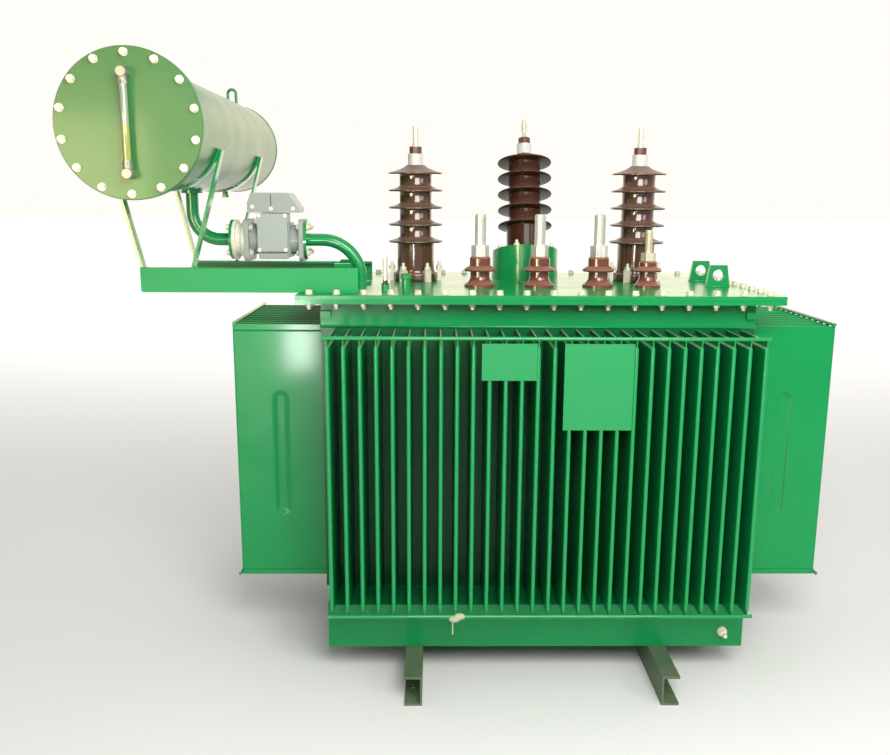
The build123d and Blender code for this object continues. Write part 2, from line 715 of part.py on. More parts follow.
crown_rise = DRUM_CROWN - DRUM_EDGE
crown_radius = (DRUM_RADIUS**2 + crown_rise**2) / (2 * crown_rise)
crown_middle = DRUM_CROWN - crown_radius + sqrt(crown_radius**2 - (DRUM_RADIUS / 2) ** 2)
with BuildPart() as conservator_back:
    with BuildSketch(Plane((DRUM_X, DRUM_BACK, DRUM_Z), x_dir=(1, 0, 0), z_dir=(0, 0, 1))):
        with BuildLine():
            Line((0, 0), (DRUM_RADIUS, 0))
            Line((DRUM_RADIUS, 0), (DRUM_RADIUS, DRUM_EDGE))
            ThreePointArc((DRUM_RADIUS, DRUM_EDGE), (DRUM_RADIUS / 2, crown_middle), (0, DRUM_CROWN))
            Line((0, DRUM_CROWN), (0, 0))
        make_face()
    revolve(axis=Axis((DRUM_X, DRUM_BACK, DRUM_Z), (0, 1, 0)))
save(conservator_back, "conservator_back")

with BuildPart() as gauge_fittings:
    for gauge_side in (-1, 1):
        gauge_z = DRUM_Z + gauge_side * GAUGE_HALF
        with BuildSketch(Plane((DRUM_X, COVER_FACE, gauge_z), z_dir=(0, -1, 0))):
            Circle(GAUGE_FITTING_RADIUS)
        extrude(amount=GAUGE_FITTING_LENGTH)
        with BuildSketch(Plane((DRUM_X, COVER_FACE - GAUGE_STANDOFF, gauge_z), z_dir=(0, 0, -gauge_side))):
            Circle(GAUGE_TUBE_RADIUS + 2)
        extrude(amount=GAUGE_FITTING_RADIUS + 8)
    chamfer(gauge_fittings.faces().filter_by(Axis.Y).group_by(Axis.Y)[0].edges(), length=2)
save(gauge_fittings, "gauge_fittings")

with BuildPart() as gauge_glass:
    tube_half = GAUGE_HALF - GAUGE_FITTING_RADIUS - 8
    with BuildSketch(Plane((DRUM_X, COVER_FACE - GAUGE_STANDOFF, DRUM_Z - tube_half))):
        Circle(GAUGE_TUBE_RADIUS)
    extrude(amount=2 * tube_half)
save(gauge_glass, "gauge_glass")

save(bent_eye(EYE_Y), "drum_eye")

drum_space = drum_seat()
with BuildPart() as drain_plug:
    drain_neck = Plane((DRUM_X, DRAIN_Y, DRUM_Z - DRUM_RADIUS - DRAIN_NECK))
    with BuildSketch(drain_neck):
        Circle(DRAIN_RADIUS)
    extrude(amount=2 * DRAIN_NECK)
    with BuildSketch(drain_neck):
        RegularPolygon(DRAIN_HEAD_RADIUS, 6)
    extrude(amount=-DRAIN_HEAD)
    add(drum_space, mode=Mode.SUBTRACT)
save(drain_plug, "drain_plug")

# Beams and cradles
for cradle_name, beam_y, inside, beam_height in (
    ("front", BEAM_FRONT_Y, 1, BEAM_HEIGHT),
    ("rear", BEAM_REAR_Y, -1, REAR_BEAM_HEIGHT),
):
    cradle_y = beam_y + inside * BEAM_WIDTH / 2
    save(beam(beam_y, inside, beam_height), f"{cradle_name}_beam")
    save(cradle_leg(cradle_y, LEFT_LEG_FOOT, -1, beam_height), f"{cradle_name}_left_leg")
    save(cradle_leg(cradle_y, RIGHT_LEG_FOOT, 1, beam_height), f"{cradle_name}_right_leg")
    save(cradle_strap(cradle_y, beam_height), f"{cradle_name}_cradle_strap")

# Oil pipe, valve and relay
valve_left = RELAY_LEFT - VALVE_LENGTH
with BuildPart() as drum_pipe:
    with BuildLine(Plane.XZ.offset(-RELAY_Y)) as drum_path:
        pipe_drop = Line((DRUM_X, DRUM_Z - DRUM_RADIUS + 10), (DRUM_X, RELAY_Z + PIPE_BEND))
        pipe_turn = JernArc(pipe_drop @ 1, pipe_drop % 1, PIPE_BEND, 90)
        Line(pipe_turn @ 1, Vector(valve_left, RELAY_Y, RELAY_Z))
    with BuildSketch(Plane(drum_path.line @ 0, z_dir=drum_path.line % 0)):
        Circle(PIPE_RADIUS)
    sweep()
    with BuildSketch(Plane((valve_left, RELAY_Y, RELAY_Z), z_dir=(-1, 0, 0))):
        Circle(PIPE_FLANGE_RADIUS)
    extrude(amount=PIPE_FLANGE)
    with BuildSketch(Plane((DRUM_X, RELAY_Y, DRUM_Z - DRUM_RADIUS - PIPE_COLLAR))):
        Circle(PIPE_COLLAR_RADIUS)
    extrude(amount=2 * PIPE_COLLAR)
    add(drum_space, mode=Mode.SUBTRACT)
save(drum_pipe, "drum_pipe")

with BuildPart() as pipe_valve:
    with BuildSketch(Plane((valve_left, RELAY_Y, RELAY_Z), x_dir=(1, 0, 0), z_dir=(0, -1, 0))):
        with BuildLine():
            Polyline(
                (0, 0),
                (0, PIPE_FLANGE_RADIUS),
                (VALVE_FLANGE, PIPE_FLANGE_RADIUS),
                (VALVE_FLANGE, VALVE_WAIST_RADIUS),
                (VALVE_LENGTH - VALVE_FLANGE, VALVE_WAIST_RADIUS),
                (VALVE_LENGTH - VALVE_FLANGE, PIPE_FLANGE_RADIUS),
                (VALVE_LENGTH, PIPE_FLANGE_RADIUS),
                (VALVE_LENGTH, 0),
                close=True,
            )
        make_face()
    revolve(axis=Axis((valve_left, RELAY_Y, RELAY_Z), (1, 0, 0)))
save(pipe_valve, "pipe_valve")

with BuildPart() as relay_body:
    for flange_x in (RELAY_LEFT, RELAY_RIGHT - RELAY_FLANGE):
        with BuildSketch(Plane((flange_x, RELAY_Y, RELAY_Z), z_dir=(1, 0, 0))):
            RectangleRounded(RELAY_FLANGE_SIZE, RELAY_FLANGE_SIZE, RELAY_CORNER)
        extrude(amount=RELAY_FLANGE)
    with BuildSketch(Plane((RELAY_LEFT, RELAY_Y, RELAY_Z), z_dir=(1, 0, 0))):
        Circle(RELAY_BODY_HEIGHT / 2 - 8)
    extrude(amount=RELAY_LENGTH)
    with BuildSketch(Plane((RELAY_X, RELAY_Y, RELAY_Z - RELAY_BODY_HEIGHT / 2))):
        RectangleRounded(RELAY_BODY_WIDTH, RELAY_BODY_DEPTH, RELAY_NECK_INSET)
    extrude(amount=RELAY_BODY_HEIGHT)
    with BuildSketch(Plane((RELAY_X, RELAY_Y, RELAY_Z + RELAY_BODY_HEIGHT / 2))):
        RectangleRounded(
            RELAY_BODY_WIDTH - 2 * RELAY_NECK_INSET,
            RELAY_BODY_DEPTH - 2 * RELAY_NECK_INSET,
            RELAY_NECK_INSET,
        )
    extrude(amount=RELAY_NECK)
save(relay_body, "relay_body")

with BuildPart() as relay_head:
    head_bottom = RELAY_Z + RELAY_BODY_HEIGHT / 2 + RELAY_NECK
    with BuildSketch(Plane.XZ.offset(-RELAY_Y)):
        with BuildLine():
            Polyline(
                (RELAY_X - RELAY_HEAD_WIDTH / 2, head_bottom),
                (RELAY_X + RELAY_HEAD_WIDTH / 2, head_bottom),
                (RELAY_X + RELAY_HEAD_WIDTH / 2, head_bottom + RELAY_HEAD_EDGE),
                (RELAY_X + RELAY_HEAD_WIDTH / 2 - RELAY_HEAD_SLOPE, head_bottom + RELAY_HEAD_HEIGHT),
                (RELAY_X - RELAY_HEAD_WIDTH / 2 + RELAY_HEAD_EDGE, head_bottom + RELAY_HEAD_HEIGHT),
                (RELAY_X - RELAY_HEAD_WIDTH / 2, head_bottom + RELAY_HEAD_HEIGHT / 2),
                close=True,
            )
        make_face()
    extrude(amount=RELAY_HEAD_DEPTH / 2, both=True)
    fillet(relay_head.edges().filter_by(Axis.Y), radius=5)
save(relay_head, "relay_head")

lid_pipe_x = RELAY_RIGHT + LID_PIPE_RUN + LID_PIPE_BEND
with BuildPart() as lid_pipe:
    with BuildLine(Plane.XZ.offset(-RELAY_Y)) as lid_path:
        pipe_run = Line((RELAY_RIGHT, RELAY_Z), (RELAY_RIGHT + LID_PIPE_RUN, RELAY_Z))
        pipe_fall = JernArc(pipe_run @ 1, pipe_run % 1, LID_PIPE_BEND, -90)
        Line(pipe_fall @ 1, Vector(lid_pipe_x, RELAY_Y, LID_TOP))
    with BuildSketch(Plane(lid_path.line @ 0, z_dir=lid_path.line % 0)):
        Circle(PIPE_RADIUS)
    sweep()
    with BuildSketch(Plane((RELAY_RIGHT, RELAY_Y, RELAY_Z), z_dir=(1, 0, 0))):
        Circle(PIPE_FLANGE_RADIUS)
    extrude(amount=PIPE_FLANGE)
    with BuildSketch(Plane((lid_pipe_x, RELAY_Y, LID_TOP))):
        Circle(PIPE_COLLAR_RADIUS)
    extrude(amount=PIPE_COLLAR)
save(lid_pipe, "lid_pipe")
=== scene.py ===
"""Looks for a power transformer: paint, glaze, bolts, seams, threads, tags, light and camera."""

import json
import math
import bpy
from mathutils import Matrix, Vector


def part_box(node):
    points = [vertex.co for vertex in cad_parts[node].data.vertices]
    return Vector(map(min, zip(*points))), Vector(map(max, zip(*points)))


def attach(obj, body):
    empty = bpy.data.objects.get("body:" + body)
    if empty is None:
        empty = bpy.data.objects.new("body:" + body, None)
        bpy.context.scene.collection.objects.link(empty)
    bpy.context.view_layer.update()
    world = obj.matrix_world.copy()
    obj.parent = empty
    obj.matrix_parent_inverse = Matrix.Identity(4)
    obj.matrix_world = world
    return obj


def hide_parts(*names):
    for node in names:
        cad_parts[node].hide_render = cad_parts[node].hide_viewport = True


bl_info = {
    "name": "Power Transformer Dressing",
    "version": (1, 0, 0),
    "blender": (4, 5, 0),
    "location": "View3D > Sidebar > Transformer",
    "description": "Finishes and small fittings for a packed power transformer",
    "category": "Object",
}

import bpy
from bpy.props import FloatProperty, FloatVectorProperty, IntProperty, PointerProperty
from mathutils import Matrix, Vector

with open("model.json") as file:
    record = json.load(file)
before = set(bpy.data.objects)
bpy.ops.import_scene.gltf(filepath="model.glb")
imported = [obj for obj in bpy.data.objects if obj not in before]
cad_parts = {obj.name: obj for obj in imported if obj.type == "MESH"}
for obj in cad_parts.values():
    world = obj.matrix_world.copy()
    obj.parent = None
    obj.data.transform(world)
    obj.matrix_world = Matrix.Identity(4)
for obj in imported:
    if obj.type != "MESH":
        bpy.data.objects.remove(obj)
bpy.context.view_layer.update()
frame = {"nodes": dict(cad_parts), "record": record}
NODES = frame["nodes"]
MOUNTS = {mount["name"]: mount for mount in frame["record"]["mounts"]}
BODY = "root"
HV_SIDES = ("left", "middle", "right")


class Wire:
    """A node's output whose operators add Math nodes to the same tree."""

    def __init__(self, tree, socket):
        self.tree = tree
        self.socket = socket

    def _math(self, operation, first, second):
        return self.tree.node("ShaderNodeMath", {"operation": operation}, {0: first, 1: second})

    def __add__(self, other):
        return self._math("ADD", self, other)

    __radd__ = __add__

    def __sub__(self, other):
        return self._math("SUBTRACT", self, other)

    def __rsub__(self, other):
        return self._math("SUBTRACT", other, self)

    def __mul__(self, other):
        return self._math("MULTIPLY", self, other)

    __rmul__ = __mul__

    def __gt__(self, other):
        return self._math("GREATER_THAN", self, other)

    def __lt__(self, other):
        return self._math("LESS_THAN", self, other)

    def __abs__(self):
        return self._math("ABSOLUTE", self, 0.0)


class Tree:
    """A node tree that makes any node from its type, settings and socket values."""

    def __init__(self, node_tree):
        self.tree = node_tree
        self.tree.nodes.clear()

    def node(self, kind, settings=None, sockets=None, out=0):
        made = self.tree.nodes.new(kind)
        for name, value in (settings or {}).items():
            setattr(made, name, value)
        for key, value in (sockets or {}).items():
            for one in value if isinstance(value, list) else [value]:
                if isinstance(one, Wire):
                    self.tree.links.new(one.socket, made.inputs[key])
                else:
                    made.inputs[key].default_value = one
        return Wire(self, made.outputs[out]) if made.outputs else made

    def mix(self, factor, first, second):
        """Blend two colours."""
        return self.node("ShaderNodeMix", {"data_type": "RGBA"}, {0: factor, 6: first, 7: second}, out=2)

    def noise(self, vector, scale, detail=3.0, roughness=0.5):
        """Soft noise between 0 and 1."""
        return self.node(
            "ShaderNodeTexNoise",
            {},
            {"Vector": vector, "Scale": scale, "Detail": detail, "Roughness": roughness},
        )

    def ease(self, value, start, end, first=0.0, last=1.0):
        """A value between start and end, mapped smoothly from first to last."""
        return self.node(
            "ShaderNodeMapRange",
            {"interpolation_type": "SMOOTHSTEP"},
            {"Value": value, "From Min": start, "From Max": end, "To Min": first, "To Max": last},
        )


def rgba(colour):
    """A colour property as the four numbers a socket takes."""
    return (colour[0], colour[1], colour[2], 1.0)


def shaded(colour, share):
    """A colour made darker or lighter by a share."""
    return tuple(share * part for part in colour)


def new_material(name):
    """An empty material and its tree."""
    material = bpy.data.materials.new(name)
    material.use_nodes = True
    return material, Tree(material.node_tree)


def close_material(tree, sockets):
    """End a material in one Principled surface."""
    surface = tree.node("ShaderNodeBsdfPrincipled", {}, sockets)
    tree.node("ShaderNodeOutputMaterial", {}, {"Surface": surface})


def split_axes(tree, kind="Object"):
    """Coordinates as a vector and its three parts."""
    vector = tree.node("ShaderNodeTexCoord", out=kind)
    first = tree.node("ShaderNodeSeparateXYZ", {}, {0: vector})
    return vector, [Wire(tree, part) for part in first.socket.node.outputs]


def pressed_bead(tree, axes, centre, half_length, half_width):
    """Depth of an upright pressed bead: 1 along its middle, 0 outside, softened at the edge."""
    past_end = abs(axes[2] - centre[1]) - (half_length - half_width)
    beyond = tree.node("ShaderNodeMath", {"operation": "MAXIMUM"}, {0: past_end, 1: 0.0})
    offset = tree.node("ShaderNodeCombineXYZ", {}, {0: abs(axes[0]) - centre[0], 1: beyond})
    away = tree.node("ShaderNodeVectorMath", {"operation": "LENGTH"}, {0: offset}, out="Value")
    return tree.ease(away, 0.4 * half_width, 1.5 * half_width, 1.0, 0.0)


def gloss_paint(name, colour, shade, roughness, coat, specular=0.3, bead=None):
    """Sprayed gloss paint with soft shade changes, a faint orange-peel bump and slightly wavy sheet."""
    material, tree = new_material(name)
    vector, axes = split_axes(tree)
    cloud = tree.noise(vector, 2.3, 4.0)
    peel = tree.noise(vector, 160.0, 2.0)
    tone = tree.mix(cloud, rgba(shade), rgba(colour))
    sheet = tree.noise(vector, 4.5, 1.0)
    peel_depth, sheet_depth, bead_depth = 0.00007, 0.006, 0.007
    relief = peel * peel_depth + sheet * sheet_depth
    if bead:
        relief = relief - pressed_bead(tree, axes, *bead) * bead_depth
    bump = tree.node("ShaderNodeBump", {}, {"Strength": 1.0, "Distance": 1.0, "Height": relief})
    close_material(
        tree,
        {
            "Base Color": tone,
            "Roughness": cloud * 0.12 + roughness,
            "Coat Weight": coat,
            "Coat Roughness": 0.1,
            "Specular IOR Level": specular,
            "Normal": bump,
        },
    )
    return material


def dust_and_top_highlight(tree, most):
    """How much of a pale colour a face takes, from none on an upright one to the most on a level one: dust on
    the glaze, and dust with a painted highlight on the fins.
    """
    facing = tree.node("ShaderNodeNewGeometry", out="Normal")
    upward = tree.node("ShaderNodeSeparateXYZ", {}, {0: facing}, out="Z")
    return tree.ease(upward, 0.3, 0.8, 0.0, most)


def fin_paint(name, paint, root, tip):
    """Tank paint with painted shade deep between the fins, and dust mixed with a painted highlight on their
    top edges.
    """
    material, tree = new_material(name)
    vector, axes = split_axes(tree)
    cloud = tree.noise(vector, 2.3, 4.0)
    reach = tree.ease(abs(axes[1]), root, tip)
    # Towards the fin roots the paint turns to a much darker copy of the tank green: painted shade deep
    # between the fins.
    painted_root_shade = shaded(paint.green, 0.34)
    painted = tree.mix(reach, rgba(painted_root_shade), tree.mix(cloud, rgba(paint.green_shade), rgba(paint.green)))
    # Up-facing fin edges turn pale: dust mixed with a painted highlight on their lit tops.
    tone = tree.mix(dust_and_top_highlight(tree, 0.8), painted, rgba(paint.fin_dust_and_highlight))
    close_material(
        tree,
        {
            "Base Color": tone,
            "Roughness": cloud * 0.12 + 0.24,
            "Coat Weight": reach * 0.25,
            "Coat Roughness": 0.1,
            "Specular IOR Level": 0.3,
        },
    )
    return material


def dusty_paint(name, colour, dust):
    """Worn paint near the floor, greyed by dust; on the rails its colour is a darker green, painted shadow
    under the tank.
    """
    material, tree = new_material(name)
    vector, _ = split_axes(tree)
    cover = tree.noise(vector, 9.0, 5.0, 0.65)
    tone = tree.mix(cover, rgba(colour), rgba(dust))
    close_material(tree, {"Base Color": tone, "Roughness": cover * 0.3 + 0.45})
    return material


def brown_glaze(name, colour, edge, dust, coat=0.6, specular=0.5):
    """Brown porcelain glaze, lighter in patches, with dust on what faces up."""
    material, tree = new_material(name)
    vector, _ = split_axes(tree)
    mottle = tree.noise(vector, 14.0, 3.0)
    settled = dust_and_top_highlight(tree, 0.75)
    glazed = tree.mix(mottle, rgba(colour), rgba(edge))
    tone = tree.mix(settled, glazed, rgba(dust))
    close_material(
        tree,
        {
            "Base Color": tone,
            "Roughness": mottle * 0.14 + settled * 0.35 + 0.1,
            "Coat Weight": coat - settled * coat,
            "Coat Roughness": 0.06,
            "Specular IOR Level": specular,
        },
    )
    return material


def plated_metal(name, colour, metallic, roughness):
    """Plated or cast metal with fine grain."""
    material, tree = new_material(name)
    vector, _ = split_axes(tree)
    grain = tree.noise(vector, 90.0, 3.0)
    tone = tree.mix(grain, rgba(shaded(colour, 0.72)), rgba(colour))
    close_material(tree, {"Base Color": tone, "Metallic": metallic, "Roughness": grain * 0.2 + roughness})
    return material


def banded_cap(name, seat, axis, colours, heights):
    """Terminal whose cap, nut and stud change colour at two heights along its axis."""
    cap, nut, stud = colours
    material, tree = new_material(name)
    vector, _ = split_axes(tree)
    moved = tree.node("ShaderNodeVectorMath", {"operation": "SUBTRACT"}, {0: vector, 1: seat})
    along = tree.node("ShaderNodeVectorMath", {"operation": "DOT_PRODUCT"}, {0: moved, 1: axis}, out="Value")
    lower = tree.mix(along > heights[0], rgba(cap), rgba(nut))
    tone = tree.mix(along > heights[1], lower, rgba(stud))
    close_material(tree, {"Base Color": tone, "Metallic": (along > heights[1]) * 0.7, "Roughness": 0.36})
    return material


def sight_glass(name, level, clear, oil):
    """Gauge tube, clear above the oil and yellow below."""
    material, tree = new_material(name)
    _, axes = split_axes(tree)
    tone = tree.mix(axes[2] < level, rgba(clear), rgba(oil))
    close_material(tree, {"Base Color": tone, "Roughness": 0.08, "Coat Weight": 1.0})
    return material


def dress(material, *nodes):
    """Give CAD nodes one finish."""
    for node in nodes:
        slots = NODES[node].data.materials
        slots.clear()
        slots.append(material)


def place(piece):
    """Fix a finished piece to the transformer."""
    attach(piece, BODY)


def stud_line(name):
    """The point and the direction of a stud."""
    return Vector(MOUNTS[name]["pos_m"]), Vector(MOUNTS[name]["axis"])


def new_piece(name, vertices, faces, material=None, edges=()):
    """A mesh object at the origin."""
    mesh = bpy.data.meshes.new(name)
    mesh.from_pydata(vertices, edges, faces)
    mesh.update()
    if material:
        mesh.materials.append(material)
    piece = bpy.data.objects.new(name, mesh)
    bpy.context.scene.collection.objects.link(piece)
    return piece


def settle(piece, group, values):
    """Run a geometry tree on a piece with the values of its named inputs, and keep the plain mesh."""
    tree = bpy.data.node_groups.get(group) or GROUPS[group]()
    modifier = piece.modifiers.new("build", "NODES")
    modifier.node_group = tree
    for item in tree.interface.items_tree:
        if item.item_type == "SOCKET" and item.in_out == "INPUT" and item.name in values:
            modifier[item.identifier] = values[item.name]
    bpy.context.view_layer.update()
    graph = bpy.context.evaluated_depsgraph_get()
    mesh = bpy.data.meshes.new_from_object(piece.evaluated_get(graph))
    mesh.name = piece.name
    mesh.materials.clear()
    mesh.materials.append(values["Material"])
    mesh.polygons.foreach_set("material_index", [0] * len(mesh.polygons))
    piece.modifiers.clear()
    old = piece.data
    piece.data = mesh
    bpy.data.meshes.remove(old)
    if not mesh.polygons:
        raise RuntimeError(f"{piece.name} came out empty")


def geometry_tree(name, floats=(), vectors=()):
    """A geometry tree with named inputs and a material; returns its Tree, the input wires and the group."""
    group = bpy.data.node_groups.new(name, "GeometryNodeTree")
    group.interface.new_socket("Geometry", in_out="OUTPUT", socket_type="NodeSocketGeometry")
    group.interface.new_socket("Geometry", in_out="INPUT", socket_type="NodeSocketGeometry")
    inputs = [(label, "Float") for label in floats] + [(label, "Vector") for label in vectors]
    for label, kind in [*inputs, ("Material", "Material")]:
        group.interface.new_socket(label, in_out="INPUT", socket_type=f"NodeSocket{kind}")
    tree = Tree(group)
    entry = group.nodes.new("NodeGroupInput")
    wires = {socket.name: Wire(tree, socket) for socket in entry.outputs if socket.name}
    return tree, wires, group


def end_geometry(tree, geometry, material):
    """Realize, finish and output a geometry tree."""
    real = tree.node("GeometryNodeRealizeInstances", {}, {0: geometry})
    done = tree.node("GeometryNodeSetMaterial", {}, {"Geometry": real, "Material": material})
    tree.node("NodeGroupOutput", {}, {0: done})


def attribute(tree, name, kind):
    """A value that each point carries."""
    return tree.node("GeometryNodeInputNamedAttribute", {"data_type": kind}, {"Name": name})


def stood(tree, direction):
    """The rotation that turns Z to a direction."""
    return tree.node("FunctionNodeAlignRotationToVector", {"axis": "Z"}, {"Vector": direction})


def bolt_group():
    """Bolts on points: washer, hexagon head and threaded end, turned to each point's facing."""
    labels = [f"{part} {size}" for part in ("Head", "Washer", "End") for size in ("Radius", "Height")]
    tree, wire, group = geometry_tree("bolts_on_points", floats=labels)
    parts = []
    stack = 0.0
    for label, sides in (("Washer", 18), ("Head", 6), ("End", 12)):
        tall = wire[f"{label} Height"]
        solid = tree.node(
            "GeometryNodeMeshCylinder",
            {"fill_type": "NGON"},
            {"Vertices": sides, "Radius": wire[f"{label} Radius"], "Depth": tall},
        )
        lift = tree.node("ShaderNodeCombineXYZ", {}, {"Z": tall * 0.5 + stack})
        parts.append(tree.node("GeometryNodeTransform", {}, {"Geometry": solid, "Translation": lift}))
        stack = tall + stack
    bolt = tree.node("GeometryNodeJoinGeometry", {}, {0: parts})
    upright = stood(tree, attribute(tree, "facing", "FLOAT_VECTOR"))
    turn = attribute(tree, "turn", "FLOAT")
    twist = tree.node("FunctionNodeAxisAngleToRotation", {}, {"Axis": (0, 0, 1), "Angle": turn})
    turned = tree.node("FunctionNodeRotateRotation", {"rotation_space": "LOCAL"}, {0: upright, 1: twist})
    spots = {"Points": wire["Geometry"], "Instance": bolt, "Rotation": turned}
    end_geometry(tree, tree.node("GeometryNodeInstanceOnPoints", {}, spots), wire["Material"])
    return group


def ring_group():
    """Thread rings: a ring repeated along each point's facing."""
    tree, wire, group = geometry_tree("thread_rings", floats=("Radius", "Thread"))
    crest = wire["Radius"] + wire["Thread"] * 0.3
    root = wire["Radius"] - wire["Thread"] * 0.15
    flanks = []
    for top, bottom, rise in ((crest, root, 0.0), (root, crest, 0.5)):
        flank = tree.node(
            "GeometryNodeMeshCone",
            {"fill_type": "NONE"},
            {"Vertices": 20, "Radius Top": top, "Radius Bottom": bottom, "Depth": wire["Thread"] * 0.5},
        )
        lift = tree.node("ShaderNodeCombineXYZ", {}, {"Z": wire["Thread"] * rise})
        flanks.append(tree.node("GeometryNodeTransform", {}, {"Geometry": flank, "Translation": lift}))
    ring = tree.node("GeometryNodeJoinGeometry", {}, {0: flanks})
    upright = stood(tree, attribute(tree, "facing", "FLOAT_VECTOR"))
    spots = {"Points": wire["Geometry"], "Instance": ring, "Rotation": upright}
    end_geometry(tree, tree.node("GeometryNodeInstanceOnPoints", {}, spots), wire["Material"])
    return group


def seam_group():
    """Weld seams: a round bead along every edge."""
    tree, wire, group = geometry_tree("weld_seams", floats=("Radius",))
    path = tree.node("GeometryNodeMeshToCurve", {}, {0: wire["Geometry"]})
    section = tree.node("GeometryNodeCurvePrimitiveCircle", {}, {"Resolution": 8, "Radius": wire["Radius"]})
    bead = tree.node("GeometryNodeCurveToMesh", {}, {0: path, 1: section, "Fill Caps": True})
    smooth = tree.node("GeometryNodeSetShadeSmooth", {}, {0: bead})
    end_geometry(tree, smooth, wire["Material"])
    return group


def turned_group():
    """Turned porcelain: a profile, with its radius along X and its height down Y, spun round an axis."""
    tree, wire, group = geometry_tree("turned_porcelain", vectors=("Seat", "Axis"))
    profile = tree.node("GeometryNodeMeshToCurve", {}, {0: wire["Geometry"]})
    pole = 0.00001
    circle = tree.node("GeometryNodeCurvePrimitiveCircle", {}, {"Resolution": 96, "Radius": pole})
    skin = tree.node("GeometryNodeCurveToMesh", {}, {0: circle, 1: profile})
    closed = tree.node("GeometryNodeMergeByDistance", {}, {"Geometry": skin, "Distance": 3 * pole})
    seated = {"Geometry": closed, "Translation": wire["Seat"], "Rotation": stood(tree, wire["Axis"])}
    smooth = tree.node("GeometryNodeSetShadeSmooth", {}, {0: tree.node("GeometryNodeTransform", {}, seated)})
    end_geometry(tree, smooth, wire["Material"])
    return group


def dab_group():
    """Soft dabs: a flattened ball on every point."""
    tree, wire, group = geometry_tree("soft_dabs", floats=("Radius",))
    ball = tree.node("GeometryNodeMeshUVSphere", {}, {"Segments": 20, "Rings": 12, "Radius": wire["Radius"]})
    spots = {"Points": wire["Geometry"], "Instance": ball, "Scale": (1.5, 0.9, 0.9)}
    many = tree.node("GeometryNodeInstanceOnPoints", {}, spots)
    smooth = tree.node("GeometryNodeSetShadeSmooth", {}, {0: many})
    end_geometry(tree, smooth, wire["Material"])
    return group


GROUPS = {
    "bolts_on_points": bolt_group,
    "thread_rings": ring_group,
    "weld_seams": seam_group,
    "turned_porcelain": turned_group,
    "soft_dabs": dab_group,
}


def points_piece(name, rows):
    """Loose points with a facing and a turn, ready for a geometry tree. Rows hold point, facing, turn."""
    piece = new_piece(name, [row[0] for row in rows], [])
    piece.data.attributes.new("facing", "FLOAT_VECTOR", "POINT")
    piece.data.attributes.new("turn", "FLOAT", "POINT")
    for index, (_, direction, angle) in enumerate(rows):
        piece.data.attributes["facing"].data[index].vector = direction
        piece.data.attributes["turn"].data[index].value = angle
    return piece


def put_bolts(name, rows, head, washer, end, material="zinc_plating"):
    """One piece of bolts from rows of point, facing and turn. Head, washer and end hold radius and height."""
    piece = points_piece(name, rows)
    values = {"Material": bpy.data.materials[material]}
    for label, size in (("Head", head), ("Washer", washer), ("End", end)):
        values[f"{label} Radius"], values[f"{label} Height"] = size
    settle(piece, "bolts_on_points", values)
    place(piece)


def put_threads(name, rows, radius, pitch, material):
    """Thread rings on a stud. Rows hold the thread's first point, its direction and its length."""
    spots = []
    for start, direction, length in rows:
        for index in range(int(length / pitch)):
            spots.append((start + direction * (pitch * (index + 0.25)), direction, 0.0))
    piece = points_piece(name, spots)
    values = {"Radius": radius, "Thread": pitch, "Material": material}
    settle(piece, "thread_rings", values)
    place(piece)


def put_seams(name, paths, radius, material):
    """Round weld beads along paths of points. A path that ends where it starts is a ring."""
    points = []
    edges = []
    for path in paths:
        closed = (Vector(path[0]) - Vector(path[-1])).length < 1e-6
        first = len(points)
        points += path[:-1] if closed else path
        last = len(points) - 1
        edges += [(index, index + 1) for index in range(first, last)]
        if closed:
            edges.append((last, first))
    piece = new_piece(name, points, [], edges=edges)
    settle(piece, "weld_seams", {"Radius": radius, "Material": material})
    place(piece)


def curve_points(start, bend, end, count=8):
    """Points along a curve from start to end that leans towards the bend; the start is left out."""
    points = []
    for index in range(1, count + 1):
        share = index / count
        weights = ((1 - share) ** 2, 2 * share * (1 - share), share**2)
        points.append(tuple(sum(w * p[axis] for w, p in zip(weights, (start, bend, end))) for axis in (0, 1)))
    return points


def porcelain_profile(sizes, shed_radius, top):
    """Radius and height of a high-voltage porcelain, from its foot's middle to its neck's middle."""
    foot, lower, body, neck = sizes.foot_radius, sizes.lower_radius, sizes.body_radius, sizes.neck_radius
    edge = 0.003
    points = [(0, 0), (foot - edge, 0), (foot, edge), (foot, sizes.foot_height - 3 * edge)]
    points += curve_points(points[-1], (foot, sizes.foot_height), (0.5 * (foot + lower), sizes.foot_height))
    points += curve_points(points[-1], (lower, sizes.foot_height), (lower, sizes.foot_height + 5 * edge))
    wall = lower
    for index in range(sizes.shed_count):
        level = sizes.shed_first + index * sizes.shed_pitch
        under = level - sizes.shed_rim
        rim = 0.5 * sizes.shed_rim
        points.append((wall, under - 2 * edge))
        points += curve_points(points[-1], (wall, under), (wall + 2 * edge, under), 5)
        turns = [math.pi * (step / 8 - 0.5) for step in range(9)]
        points += [(shed_radius - rim + rim * math.cos(t), under + rim + rim * math.sin(t)) for t in turns]
        if index < sizes.shed_count - 1:
            bend = (body + 2 * edge, level + 0.6 * sizes.shed_rise)
            points += curve_points(points[-1], bend, (body, level + sizes.shed_rise + 2 * edge))
        else:
            points += curve_points(points[-1], (neck + 4 * edge, 0.5 * (level + top)), (neck, top))
        wall = body
    return points + [(0, top)]


def put_turned(name, profile, seat, axis, material, node):
    """A turned piece that stands for a CAD node."""
    edges = [(index, index + 1) for index in range(len(profile) - 1)]
    points = [(radius, -height, 0.0) for radius, height in reversed(profile)]
    piece = new_piece(name, points, [], edges=edges)
    settle(piece, "turned_porcelain", {"Seat": tuple(seat), "Axis": tuple(axis), "Material": material})
    place(piece)
    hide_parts(node)


